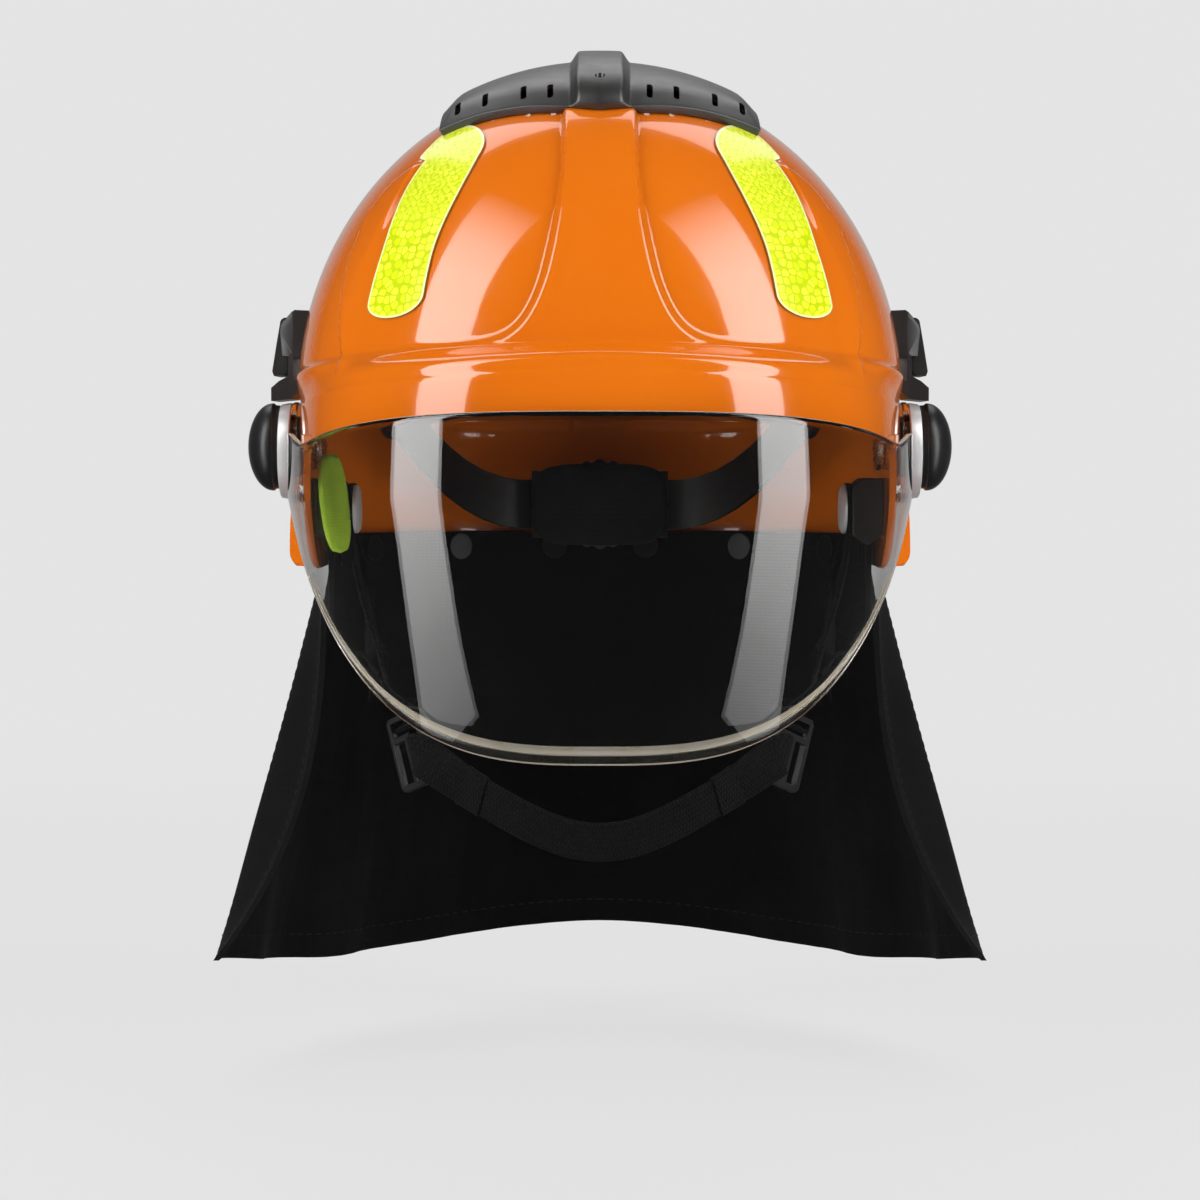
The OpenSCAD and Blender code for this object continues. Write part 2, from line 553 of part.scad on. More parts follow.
function lug_column(y, s, d) = [for (k = [0:visor_rows]) let (t = k == 1 ? 0.035 : max(0, (k - 1) /
    (visor_rows - 1))) [s * (visor_w - d), y, lerp(-round_z(y, low_r), round_z(y, lug_r), t)]];
function visor_grid(d, rim) = let (n = len(visor_fs), m = len(lug_ys)) concat(
    [for (k = [m - 1:-1:0]) lug_column(lug_ys[k], -1, d)],
    [for (k = [n - 1:-1:1]) visor_column(-visor_fs[k], d, visor_fs[k] > 70 ? d : rim)],
    [for (f = visor_fs) visor_column(f, d, f > 70 ? d : rim)],
    [for (y = lug_ys) lug_column(y, 1, d)]);
module visor() {
    color([0.86, 0.88, 0.86, 0.35]) difference() {
        sheet(visor_grid(0, 0), visor_grid(visor_t, visor_rim));
        along_x(bush_r + 0.1, -visor_w - 5, visor_w + 5);
    }
}

// Stack on each pivot, from the flank outwards
ring_x = visor_w + play;
knob_x = ring_x + ring_t + gap;
head_x = flank_x - wall - 2.8;
stud_end = knob_x + 7;
module pivot_stud(side) both(side) color("silver") union() {
    turned(head_x - 0.3) polygon([[0, 0], [9, 0], [9, 1.8], [8.2, 2.8], [0, 2.8]]);
    along_x(stud_r, head_x, stud_end);
}
module friction_washer(side) both(side) color(black) turned(flank_x + play)
    translate([stud_r + 0.3, 0]) square([7.4, washer_t]);
module visor_bush(side) both(side) color(dark) turned(visor_w - visor_t)
    translate([stud_r + run, 0]) square([bush_r - stud_r - run, visor_t + 0.1]);
module visor_ring(side) both(side) color("silver") turned(ring_x)
    polygon([[stud_r + 0.5, 0], [ring_r, 0], [ring_r, ring_t * 0.35], [ring_r - 0.5, ring_t],
        [ring_r - 1.6, ring_t], [ring_r - 3.2, ring_t * 0.72], [stud_r + 0.5, ring_t * 0.72]]);
knob_turn = 12;
module visor_knob(side) both(side) color(black) difference() {
    turned(knob_x) union() {
        square([knob_r - 0.9, 2.2]);
        polygon(concat([[0, 1.2], [knob_r, 1.9]], [for (k = [0:knob_turn]) let (e = 90 * k / knob_turn)
            [knob_r * cos(e), 2.4 + (knob_h - 2.4) * sin(e)]]));
    }
    along_x(stud_r + run, knob_x - 1, stud_end + 0.5);
    translate([knob_x + knob_h - 2, -1, -4]) cube([4, 2, 8]);
}

// Side clip for goggles or a lamp: a moulded base, a hinged lever, its pin and its screws
clip_end = clip_y + clip_l;
clip_out = flank_x + 4.2;
clip_top = 52;
bridge_z = 34.4;
slot_x = flank_x + 3.8;
hinge_x = flank_x + 6.8;
hinge_z = 47.3;
ear = 3;
screw_spots = [[clip_y + 7, 43], [clip_y + clip_l - 7, 43]];
shoe = [[5.8, 34.5], [5.8, 27], [9.2, 25.2], [12.2, 22.6], [12.2, 17.6], [4.6, 18.3]];
ear_shape = [[3.2, clip_top], [4.2, 51.8], [6.6, 49], [8.5, 46.6], [8.8, 44], [8.4, 40], [8, 34.8],
    [3.2, 34.8]];
ear_face = [[3.2, clip_top], [3.6, 51.7], [4.2, 49.6], [4.5, 46.6], [4.5, 44], [4.4, 40], [4.2, 34.8],
    [3.2, 34.8]];
lever_shape = [[5.4, 45.8], [7.6, 49.4], [9, 47.4], [10.3, 40], [12.1, 29], [11.5, 27.2],
    [7.6, 27.4], [6.4, 29], [6.2, 36], [5.6, 36.6]];
function from_flank(points) = [for (p = points) [flank_x + p[0], p[1]]];
module clip_outline() polygon(concat([[flat_at(clip_top) + gap, clip_top], [clip_out - 1, clip_top + 0.3],
    [clip_out, clip_top - 1], [clip_out, 36]], from_flank(shoe), [[flat_at(clip_low) + gap, clip_low + 0.2],
    [flat_at(25.4) + gap, 25.4], [slot_x, 25.4], [slot_x, bridge_z], [flat_at(bridge_z) + gap, bridge_z]]));
module ear_outline() polygon(from_flank(ear_shape));
module side_clip(side) both(side) color(dark) difference() {
    union() {
        along_y(clip_y, clip_end) clip_outline();
        hull() {
            along_y(clip_y, clip_y + 0.2) polygon(from_flank(ear_face));
            along_y(clip_y + 1.4, clip_y + ear) ear_outline();
        }
        along_y(clip_end - ear, clip_end) ear_outline();
    }
    translate([hinge_x, clip_end + 1, hinge_z]) rotate([90, 0, 0]) cylinder(r = pin_r, h = clip_l - 0.8);
    for (p = screw_spots) translate([clip_out - 3, p[0], p[1]]) rotate([0, 90, 0]) cylinder(r = 3.2, h = 6);
    for (p = screw_spots) translate([flank_x - 8.6, p[0], p[1]]) rotate([0, 90, 0])
        cylinder(r = screw_r + 0.15, h = 12);
}
lever_y0 = clip_y + ear + gap;
lever_y1 = clip_end - ear - gap;
module clip_lever(side) both(side) color(black) difference() {
    union() {
        along_y(lever_y0, lever_y1) polygon(from_flank(lever_shape));
        translate([hinge_x, lever_y1, hinge_z]) rotate([90, 0, 0]) cylinder(r = 2.2, h = lever_y1 - lever_y0);
    }
    translate([hinge_x, clip_end, hinge_z]) rotate([90, 0, 0]) cylinder(r = pin_r + run, h = clip_l);
}
module clip_pin(side) both(side) color("silver") translate([hinge_x, clip_end - 0.4, hinge_z])
    rotate([90, 0, 0]) cylinder(r = pin_r, h = clip_l - 2.2);
module clip_screws() color(grey) for (s = [-1, 1], p = screw_spots) translate([s * (clip_out - 3), p[0], p[1]])
    rotate([0, 90 * s, 0]) {
        cylinder(r = 2.9, h = 1.6);
        translate([0, 0, -8.5]) cylinder(r = screw_r, h = 9);
    }

// Chin strap: hangers inside the flanks, snaps, webbing, slide adjusters and the strap itself
hanger_x = flank_x - 15.6;
hanger_y = 4;
snap_z = -24;
module strap_hanger(side) both(side) color(black) translate([0, hanger_y, 0]) along_y(-9, 9)
    polygon([[flank_x - wall - gap, -12], [flank_x - wall - gap, -34], [hanger_x + 6, -38], [hanger_x, -34],
        [hanger_x, -15], [hanger_x + 4, -12]]);
module strap_snap(side) both(side) color(grey) translate([hanger_x - gap, hanger_y, snap_z])
    rotate([0, -90, 0]) rotate_extrude() polygon([[0, web_t + 0.3], [2.4, web_t + 0.3], [2.4, web_t + 0.2],
        [9.5, web_t + 0.2], [9.5, web_t + 1.4], [8, web_t + 2.4], [0, web_t + 2.6]]);
function unit(v) = v / norm(v);
function tangent(r, i) = unit(r[min(len(r) - 1, i + 1)] - r[max(0, i - 1)]);
module webbing(route, ways) {
    n = len(route);
    wide = [for (i = [0:n - 1]) let (t = tangent(route, i)) unit(ways[i] - (ways[i] * t) * t)];
    ribbon(route, wide, [for (i = [0:n - 1]) cross(tangent(route, i), wide[i])], web_w, web_t);
}
// The slide adjuster's own axes: across, up along the webbing, and out of its face
adjuster_at = [71, -35, -113];
adjuster_up = unit([0.24, 0.22, 0.94]);
adjuster_side = unit(cross(adjuster_up, cross([0.62, 0.78, 0], adjuster_up)));
adjuster_face = cross(adjuster_side, adjuster_up);
function on_adjuster(s, u, f) = adjuster_at + s * adjuster_side + u * adjuster_up + f * adjuster_face;
web_x = hanger_x - gap - web_t / 2;
front_route = [[web_x, hanger_y, -14], [web_x, hanger_y, -36], [93, -4, -55], [86, -15, -76],
    [79.5, -24, -94], on_adjuster(0, 13, -5.5), on_adjuster(0, 8, 0.4)];
front_ways = [[0, 1, 0], [0, 1, 0], [0, 1, 0], [0.1, 1, 0], [0.3, 0.9, 0], adjuster_side, adjuster_side];
rear_route = [[100, 54, -40], [96.5, 42, -52], [92.5, 20, -68], [89.6, -2, -82], [86.4, -15, -91.5]];
rear_ways = [[0.2, 0, 1], [0.1, 0.3, 1], [0, 0.6, 1], [0.1, 1, 0.6], [0.3, 1, 0.3]];
chin_half = [on_adjuster(-4.6, -4.4, -1), on_adjuster(-5, -4.4, 3.4), on_adjuster(-12, -4.6, 5),
    [52, -52, -123.5], [40, -59.5, -130], [24, -65, -138], [8, -67.5, -143.2]];
chin_ways = [adjuster_up, adjuster_up, adjuster_up, [0, -0.1, 1], [0, -0.2, 1], [0, -0.25, 1], [0, -0.25, 1]];
module front_strap(side) both(side) color(black) webbing(front_route, front_ways);
module rear_strap(side) both(side) color(black) webbing(rear_route, rear_ways);
adjuster_t = 2.6;
module slide_adjuster(side) both(side) color(black) multmatrix([for (k = [0:2])
    [adjuster_side[k], adjuster_up[k], adjuster_face[k], adjuster_at[k]]])
    translate([0, -1, -adjuster_t / 2]) linear_extrude(adjuster_t) difference() {
        polygon([[-10.5, -12], [-8.5, -14], [8.5, -14], [10.5, -12], [10.5, 13], [9, 14.5], [-9, 14.5],
            [-10.5, 13]]);
        translate([-8.2, 6.9]) square([16.4, 5.4]);
        translate([-8.2, -11.4]) square([6.4, 16]);
        translate([1.2, -11.4]) square([7, 16]);
    }
function across(v) = [-v[0], v[1], v[2]];
module chin_strap() {
    n = len(chin_half);
    route = concat(chin_half, [for (k = [n - 1:-1:0]) across(chin_half[k])]);
    color(black) webbing(route, concat(chin_ways, [for (k = [n - 1:-1:0]) across(chin_ways[k])]));
}
temple_r = 6;
temple_t = 5;
module temple_pad() {
    color([0.6, 0.78, 0.12]) translate([-hanger_x - 3.6, -21, -16]) rotate([0, -6, 0]) rotate([0, -90, 0])
        linear_extrude(temple_t) offset(r = temple_r)
        square([temple_h - 2 * temple_r, temple_w - 2 * temple_r], center = true);
}

// Neck cape: cloth that hangs from the skirt's inside and opens to its two front corners
cape_top = -36;
cape_a0 = 99;
cape_in = 2;
// Rows of the cape, the second level with the skirt's edge, where the cloth starts to spread
cape_vs = [0, 0.067, 0.17, 0.3, 0.44, 0.58, 0.72, 0.86, 1];
function cape_point(u, v, d) =
    let (a = lerp(cape_a0, 180, u), top = edge_r(a) - wall - cape_in - gap - d,
        s = 90 * u, fold = 4.5 * v * sin(360 * 3.5 * u) * sin(180 * min(1, u * 1.4)),
        x1 = (cape_w - d + fold) * pow(cos(s), 0.8), y1 = lerp(6, cape_rear - d + fold, pow(sin(s), 1.1)),
        p = [min(top * sin(a), flank_x - wall - cape_in - d + 8 * u + 40 * u * u), -top * cos(a)],
        free = clamp01((v - cape_vs[1]) / (1 - cape_vs[1])), w = lerp(pow(v, 3.1), free, smooth(u / 0.08)),
        drop = 12 * pow(sin(171 * u), 1.5) + 4 * u * u)
    [lerp(p[0], x1, w), lerp(p[1], y1, w), lerp(cape_top, -cape_z - drop, v)];
cape_cols = 17;
module neck_cape() {
    function side_cols(d) = [for (i = [0:cape_cols]) [for (j = [len(cape_vs) - 1:-1:0])
        cape_point(i / cape_cols, cape_vs[j], d)]];
    function whole(d) = let (h = side_cols(d)) concat(h, [for (i = [cape_cols - 1:-1:0])
        [for (p = h[i]) [-p[0], p[1], p[2]]]]);
    color(black) sheet(whole(0), whole(cape_t));
}
cape_snap_us = [0.16, 0.42, 0.68, 0.9];
cape_snap_r = 5.6;
module cape_snaps() color(grey) for (u = cape_snap_us, s = [-1, 1]) {
    v = 0.035;
    p = cape_point(u, v, cape_t + 0.9);
    along = cape_point(min(1, u + 0.02), v, cape_t) - cape_point(u - 0.02, v, cape_t);
    t = atan2(along[1], along[0]);
    mirror([s > 0 ? 0 : 1, 0, 0]) translate(p) rotate([0, 0, t]) rotate([-90, 0, 0])
        cylinder(r1 = cape_snap_r - 0.6, r2 = cape_snap_r, h = 1.6);
}

shell();
vent_crest();
crest_screw();
reflective_sticker("left");  // reflective_sticker_left
reflective_sticker("right");  // reflective_sticker_right
impact_liner();
crown_straps();
crown_pad();
crown_clips();
headband();
sweatband();
nape_strap("left");  // nape_strap_left
nape_strap("right");  // nape_strap_right
size_housing();
size_cover();
size_knob();
nape_pad();
visor();
pivot_stud("left");  // pivot_stud_left
pivot_stud("right");  // pivot_stud_right
friction_washer("left");  // friction_washer_left
friction_washer("right");  // friction_washer_right
visor_bush("left");  // visor_bush_left
visor_bush("right");  // visor_bush_right
visor_ring("left");  // visor_ring_left
visor_ring("right");  // visor_ring_right
visor_knob("left");  // visor_knob_left
visor_knob("right");  // visor_knob_right
side_clip("left");  // side_clip_left
side_clip("right");  // side_clip_right
clip_lever("left");  // clip_lever_left
clip_lever("right");  // clip_lever_right
clip_pin("left");  // clip_pin_left
clip_pin("right");  // clip_pin_right
clip_screws();
strap_hanger("left");  // strap_hanger_left
strap_hanger("right");  // strap_hanger_right
strap_snap("left");  // strap_snap_left
strap_snap("right");  // strap_snap_right
front_strap("left");  // front_strap_left
front_strap("right");  // front_strap_right
rear_strap("left");  // rear_strap_left
rear_strap("right");  // rear_strap_right
slide_adjuster("left");  // slide_adjuster_left
slide_adjuster("right");  // slide_adjuster_right
chin_strap();
temple_pad();
neck_cape();
cape_snaps();
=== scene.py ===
"""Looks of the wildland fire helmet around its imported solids. Shapes are in millimetres, meshes in metres."""
import json
import math

import bmesh
import bpy
from mathutils import Matrix, Vector

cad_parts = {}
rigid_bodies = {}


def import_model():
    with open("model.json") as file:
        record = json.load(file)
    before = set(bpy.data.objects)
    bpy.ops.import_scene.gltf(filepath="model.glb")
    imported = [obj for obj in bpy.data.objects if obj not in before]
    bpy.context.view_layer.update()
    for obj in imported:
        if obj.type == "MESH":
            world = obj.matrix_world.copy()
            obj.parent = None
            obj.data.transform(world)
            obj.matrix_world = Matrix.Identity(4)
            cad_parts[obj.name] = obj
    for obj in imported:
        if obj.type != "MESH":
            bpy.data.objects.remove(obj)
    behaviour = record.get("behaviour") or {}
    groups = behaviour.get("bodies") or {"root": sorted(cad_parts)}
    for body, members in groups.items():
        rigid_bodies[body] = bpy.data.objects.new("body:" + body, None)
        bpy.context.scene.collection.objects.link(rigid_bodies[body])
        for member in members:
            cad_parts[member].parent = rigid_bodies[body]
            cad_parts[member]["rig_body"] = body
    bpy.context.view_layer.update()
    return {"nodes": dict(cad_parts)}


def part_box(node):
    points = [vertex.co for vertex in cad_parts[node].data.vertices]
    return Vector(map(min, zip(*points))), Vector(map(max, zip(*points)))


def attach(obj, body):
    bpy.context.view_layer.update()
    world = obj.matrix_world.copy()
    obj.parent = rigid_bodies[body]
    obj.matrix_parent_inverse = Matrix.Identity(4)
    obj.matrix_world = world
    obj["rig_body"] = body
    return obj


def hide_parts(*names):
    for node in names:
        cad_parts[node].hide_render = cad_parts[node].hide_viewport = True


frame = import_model()
scene = bpy.context.scene
MM = 0.001
X, Y, Z = Vector((1, 0, 0)), Vector((0, 1, 0)), Vector((0, 0, 1))


def sind(a):
    return math.sin(math.radians(a))


def cosd(a):
    return math.cos(math.radians(a))


def clamp01(t):
    return max(0.0, min(1.0, t))


def smooth(t):
    s = clamp01(t)
    return s * s * (3 - 2 * s)


def lerp(a, b, t):
    return a + (b - a) * t


def between(p, q, t):
    """A point on the way from p to q."""
    return tuple(lerp(a, b, t) for a, b in zip(p, q))


def bevel_step(t):
    """Goes from 0 to 1 on a straight slope with small roundings at its ends."""
    return 0.25 * smooth(t) + 0.75 * clamp01(1.25 * t - 0.125)


def spread(a, b, n):
    return [lerp(a, b, k / n) for k in range(n + 1)]


def power(c, n):
    """The nth power of a number's size, with the number's sign."""
    return math.copysign(abs(c) ** n, c)


def circle(r, n, at=(0, 0)):
    return [(at[0] + r * cosd(360 / n * k), at[1] + r * sind(360 / n * k)) for k in range(n)]


def add_object(name, data):
    thing = bpy.data.objects.new(name, data)
    scene.collection.objects.link(thing)
    return thing


# Camera

CAMERA_BACK, CAMERA_PITCH = 1.155, 2.92
camera = add_object("camera", bpy.data.cameras.new("camera"))
camera.location = (0, -CAMERA_BACK, 0)
camera.rotation_euler = (math.radians(90 - CAMERA_PITCH), 0, 0)
camera.data.lens = 90
camera.data.sensor_width = 36
camera.data.clip_start = 0.05
scene.camera = camera


# Materials


def add_node(tree, kind, inputs=None, **settings):
    """A shader node, with each input linked to a socket or set to a value."""
    n = tree.nodes.new("ShaderNode" + kind)
    for key, value in settings.items():
        setattr(n, key, value)
    for key, value in (inputs or {}).items():
        if isinstance(value, bpy.types.NodeSocket):
            tree.links.new(value, n.inputs[key])
        else:
            n.inputs[key].default_value = value
    return n


class Look:
    """A material with its main shader, and short ways to add nodes to it."""

    def __init__(self, name, color, rough, **sockets):
        self.material = bpy.data.materials.new(name)
        self.material.use_nodes = True
        self.tree = self.material.node_tree
        self.main = self.tree.nodes["Principled BSDF"]
        self.out = self.tree.nodes["Material Output"]
        self.main.inputs["Base Color"].default_value = (*color, 1)
        self.main.inputs["Roughness"].default_value = rough
        for key, value in sockets.items():
            self.main.inputs[key.replace("_", " ")].default_value = value
        self.coords = None

    def add(self, kind, inputs=None, **settings):
        return add_node(self.tree, kind, inputs, **settings)

    def link(self, socket, name):
        self.tree.links.new(socket, self.main.inputs[name])

    def place(self):
        if self.coords is None:
            self.coords = self.add("TexCoord").outputs["Object"]
        return self.coords

    def value(self, name):
        """A number that the mesh carries at each vertex."""
        return self.add("Attribute", attribute_name=name).outputs["Fac"]

    def noise(self, scale, detail=3, rough=0.5):
        inputs = {"Vector": self.place(), "Scale": scale, "Detail": detail, "Roughness": rough}
        return self.add("TexNoise", inputs).outputs["Fac"]

    def math(self, operation, a, b=0.0):
        return self.add("Math", {0: a, 1: b}, operation=operation).outputs[0]

    def times(self, a, b):
        return self.math("MULTIPLY", a, b)

    def plus(self, a, b):
        return self.math("ADD", a, b)

    def blend(self, share, a, b):
        """Ends the material in a mix of two shaders."""
        mixed = self.add("MixShader", {0: share, 1: a, 2: b}).outputs[0]
        self.tree.links.new(mixed, self.out.inputs["Surface"])
        return mixed

    def span(self, x, lo, hi, to_lo=0.0, to_hi=1.0, ease=False):
        limits = {"Value": x, "From Min": lo, "From Max": hi, "To Min": to_lo, "To Max": to_hi}
        n = self.add("MapRange", limits, interpolation_type="SMOOTHSTEP" if ease else "LINEAR")
        return n.outputs["Result"]

    def mix(self, factor, a, b):
        n = self.add("Mix", data_type="RGBA")
        for socket, value in ((n.inputs[0], factor), (n.inputs[6], a), (n.inputs[7], b)):
            if isinstance(value, bpy.types.NodeSocket):
                self.tree.links.new(value, socket)
            else:
                socket.default_value = (*value, 1)
        return n.outputs[2]

    def color(self, factor, a, b):
        self.link(self.mix(factor, a, b), "Base Color")

    def mottle(self, scale, a, b):
        """A colour that wanders between two."""
        self.color(self.span(self.noise(scale), 0.3, 0.7), a, b)

    def gloss(self, scale, detail, low, high, span=(0.3, 0.7)):
        """Uneven gloss: the roughness wanders between low and high."""
        self.link(self.span(self.noise(scale, detail), *span, low, high), "Roughness")

    def bump(self, height, distance):
        """Distance is in metres. A second call adds to the first."""
        inputs = {"Height": height, "Distance": distance, "Strength": 1.0}
        linked = self.main.inputs["Normal"].links
        if linked:
            inputs["Normal"] = linked[0].from_socket
        self.link(self.add("Bump", inputs).outputs["Normal"], "Normal")

    def grain(self, scale, detail, depth):
        self.bump(self.noise(scale, detail), depth)


def tones(color, dark, light):
    return [c * dark for c in color], [c * light for c in color]


def moulded(name, color, rough, grain=0.00004, **sockets):
    """Moulded plastic: fine surface texture, faint mottling and slightly uneven gloss."""
    look = Look(name, color, rough, **sockets)
    look.mottle(45, *tones(color, 0.86, 1.16))
    look.gloss(160, 4, rough - 0.05, rough + 0.06)
    look.grain(2600, 2, grain)
    return look


def woven(name, color, pitch_along=1.35, pitch_across=1.9):
    """Webbing: ribs across its length, split into columns, from the numbers along and across, with painted
    shade and highlight that follow the ribs.
    """
    look = Look(name, color, 0.8, Sheen_Weight=0.02, Sheen_Roughness=0.5, Specular_IOR_Level=0.12)

    def ribs(place, pitch):
        return look.math("ABSOLUTE", look.math("SINE", look.times(place, math.pi / pitch)))

    across = look.value("across")
    column = look.math("FLOOR", look.math("DIVIDE", across, pitch_across))
    along = look.plus(look.value("along"), look.times(column, pitch_along / 2))
    height = look.plus(ribs(along, pitch_along), look.times(ribs(across, pitch_across), 0.55))
    # The colour follows the rib height: painted shade between the ribs and a painted highlight on their tops.
    look.color(look.span(height, 0.2, 1.5), *tones(color, 0.45, 1.7))
    look.bump(height, 0.00022)
    look.grain(3800, 2, 0.00005)
    return look


def cloth(name, color, weave=0.0007):
    """Flat woven or knitted cloth, with a fine weave, faint wear and fuzz, and a little painted shade that
    follows the weave.
    """
    look = Look(name, color, 0.92, Sheen_Weight=0.03, Sheen_Roughness=0.55, Specular_IOR_Level=0.12)
    inputs = {"Vector": look.place(), "Scale": 1 / (weave * 6.28), "Distortion": 0.6}
    waves = [look.add("TexWave", inputs, bands_direction=axis).outputs["Fac"] for axis in "XYZ"]
    weft = look.times(look.plus(waves[0], waves[1]), waves[2])
    look.bump(weft, 0.00004)
    look.grain(900, 4, 0.00012)
    # The colour mixes random wear with a little painted shade from the weave's hollows.
    wear_and_weave_shade = look.plus(look.times(look.noise(24, 4), 0.85), look.times(weft, 0.06))
    look.color(look.span(wear_and_weave_shade, 0.25, 0.75), *tones(color, 0.7, 1.35))
    return look


def metal(name, color, share, low, high, scale=700, grain=0.00002, grain_scale=1500):
    """Metal with gloss that wanders between two roughnesses and a fine grain."""
    look = Look(name, color, low, Metallic=share)
    look.gloss(scale, 3, low, high)
    look.grain(grain_scale, 2, grain)
    return look


ORANGE_DEEP, ORANGE_PALE = (0.71, 0.149, 0.0033), (0.74, 0.163, 0.0047)
shell_look = Look("shell_orange", ORANGE_DEEP, 0.13, Coat_Weight=1.0, Coat_Roughness=0.035, Coat_IOR=1.5,
                  Specular_IOR_Level=0.35)
shell_look.mottle(14, ORANGE_DEEP, ORANGE_PALE)
shell_look.gloss(70, 5, 0.1, 0.2, (0.35, 0.75))
shell_look.grain(260, 2, 0.00001)
crest_look = moulded("crest_grey", (0.024, 0.0233, 0.0228), 0.33, Specular_IOR_Level=0.9)
clip_look = moulded("clip_grey", (0.021, 0.0205, 0.0205), 0.38)
black_look = moulded("black_plastic", (0.011, 0.011, 0.0117), 0.45)
knob_look = moulded("knob_black", (0.012, 0.012, 0.0125), 0.34, 0.00003)
dial_look = moulded("dial_grey", (0.03, 0.03, 0.032), 0.45)
ring_look = metal("ring_silver", (0.8, 0.8, 0.81), 0.55, 0.3, 0.4, 900, 0.000006, 2400)
steel_look = metal("plated_steel", (0.72, 0.72, 0.73), 1.0, 0.17, 0.32)
# Steel with a dark colour. On the crest screw and the cape snaps the darkness is painted shade: the bottom of
# the screw's hole and the shaded inside of the helmet.
dark_steel_look = metal("darkened_steel", (0.05, 0.05, 0.052), 0.9, 0.3, 0.5)
rubber_look = moulded("washer_rubber", (0.02, 0.02, 0.02), 0.7)
web_look = woven("webbing", (0.0038, 0.0038, 0.0042))
crown_web_look = woven("crown_webbing", (0.02, 0.02, 0.022), 1.8, 2.4)
cape_look = cloth("cape_cloth", (0.0052, 0.0052, 0.0055))
pad_look = cloth("pad_cloth", (0.014, 0.014, 0.0155), 0.0011)
lime_look = cloth("pad_lime", (0.36, 0.55, 0.04), 0.0006)
thread_look = cloth("stitch_thread", (0.017, 0.017, 0.0175), 0.0005)

foam_look = Look("liner_foam", (0.02, 0.02, 0.021), 0.75)
foam_inputs = {"Vector": foam_look.place(), "Scale": 260.0}
beads = foam_look.add("TexVoronoi", foam_inputs, feature="SMOOTH_F1").outputs["Distance"]
foam_look.bump(beads, 0.0004)
# Each bead is lighter in its middle and darker towards its edges: painted shade between the beads.
foam_look.color(foam_look.span(beads, 0.1, 0.6), (0.026, 0.026, 0.028), (0.011, 0.011, 0.012))


def sticker_material():
    """Fluorescent film: round cells about 4 mm wide below, fine slanting ones above, a pale sealed rim, a thin
    line of painted shadow at its very edge and a faint painted glow.
    """
    # A faint emission in the film's own colour is a painted glow for its fluorescent brightness.
    look = Look("sticker_lime", (0.8, 0.9, 0.01), 0.22, Coat_Weight=0.6, Coat_Roughness=0.08,
                Emission_Strength=0.1)
    across, along = look.value("across"), look.value("along")
    slanting = {"X": look.times(look.plus(across, along), 1.9), "Y": look.math("SUBTRACT", across, along)}
    slant = look.add("CombineXYZ", slanting).outputs[0]
    square = look.add("CombineXYZ", {"X": across, "Y": along}).outputs[0]
    shares = []
    for place, scale in ((square, 0.29), (slant, 0.33)):
        inputs = {"Vector": place, "Scale": scale, "Randomness": 0.72}
        cells = look.add("TexVoronoi", inputs, voronoi_dimensions="2D", feature="F1")
        border = look.add("TexVoronoi", inputs, voronoi_dimensions="2D", feature="DISTANCE_TO_EDGE")
        round_part = look.span(cells.outputs["Distance"], 0.48, 0.56, 1.0, 0.0, ease=True)
        edges = look.times(round_part, look.span(border.outputs["Distance"], 0.035, 0.085, ease=True))
        tone = look.add("SeparateColor", {"Color": cells.outputs["Color"]}).outputs[0]
        shares.append((edges, tone))
    upper = look.span(along, 34, 52, ease=True)
    lower = look.math("SUBTRACT", 1.0, upper)
    edges, tone = [look.plus(look.times(a, lower), look.times(b, upper)) for a, b in zip(*shares)]
    body = look.mix(look.span(tone, 0.15, 0.85), (0.74, 0.86, 0.006), (0.9, 0.95, 0.045))
    lined = look.mix(edges, (0.56, 0.7, 0.0), body)
    rim = look.span(look.value("rim"), 0.8, 1.15, 1.0, 0.0, ease=True)
    shown = look.mix(rim, lined, (0.86, 0.88, 0.4))
    # Painted shadow: a thin dark line along the film's very edge.
    outline = look.span(look.value("rim"), 0.0, 0.3, 1.0, 0.0, ease=True)
    shown = look.mix(outline, shown, (0.2, 0.13, 0.02))
    look.link(shown, "Base Color")
    # The film's colour also drives its emission: painted glow.
    look.link(shown, "Emission Color")
    look.bump(edges, 0.0001)
    return look


sticker_look = sticker_material()


def clear_material(name, color):
    """Clear polycarbonate that lets light from the lamps through to what is behind it."""
    look = Look(name, color, 0.0, IOR=1.58, Transmission_Weight=1.0, Specular_IOR_Level=0.62)
    veil = look.add("BsdfTransparent", {"Color": (*[c ** 0.5 for c in color], 1)}).outputs[0]
    look.blend(look.add("LightPath").outputs["Is Shadow Ray"], look.main.outputs[0], veil)
    return look


visor_look = clear_material("visor_clear", (0.985, 0.985, 0.97))
# The visor's cream edge has a faint emission: a painted glow for the light that the edge gathers.
edge_look = Look("visor_edge", (0.95, 0.88, 0.74), 0.2, IOR=1.58, Transmission_Weight=0.72,
                 Emission_Color=(1, 0.88, 0.68, 1), Emission_Strength=0.06)
edge_look.mottle(60, (0.93, 0.82, 0.62), (0.98, 0.93, 0.82))


# Mesh making


def mesh_of(name, verts, faces):
    mesh = bpy.data.meshes.new(name)
    mesh.from_pydata([(x * MM, y * MM, z * MM) for x, y, z in verts], [], faces)
    return mesh


def mend(mesh, *steps):
    """Runs steps of bmesh on a mesh."""
    bm = bmesh.new()
    bm.from_mesh(mesh)
    for step in steps:
        step(bm)
    bm.to_mesh(mesh)
    bm.free()


def weld(bm):
    bmesh.ops.remove_doubles(bm, verts=bm.verts, dist=2e-6)


def face_out(bm):
    bmesh.ops.recalc_face_normals(bm, faces=bm.faces)


def merge_flats(bm):
    bmesh.ops.dissolve_limit(bm, angle_limit=math.radians(0.5), verts=bm.verts, edges=bm.edges)


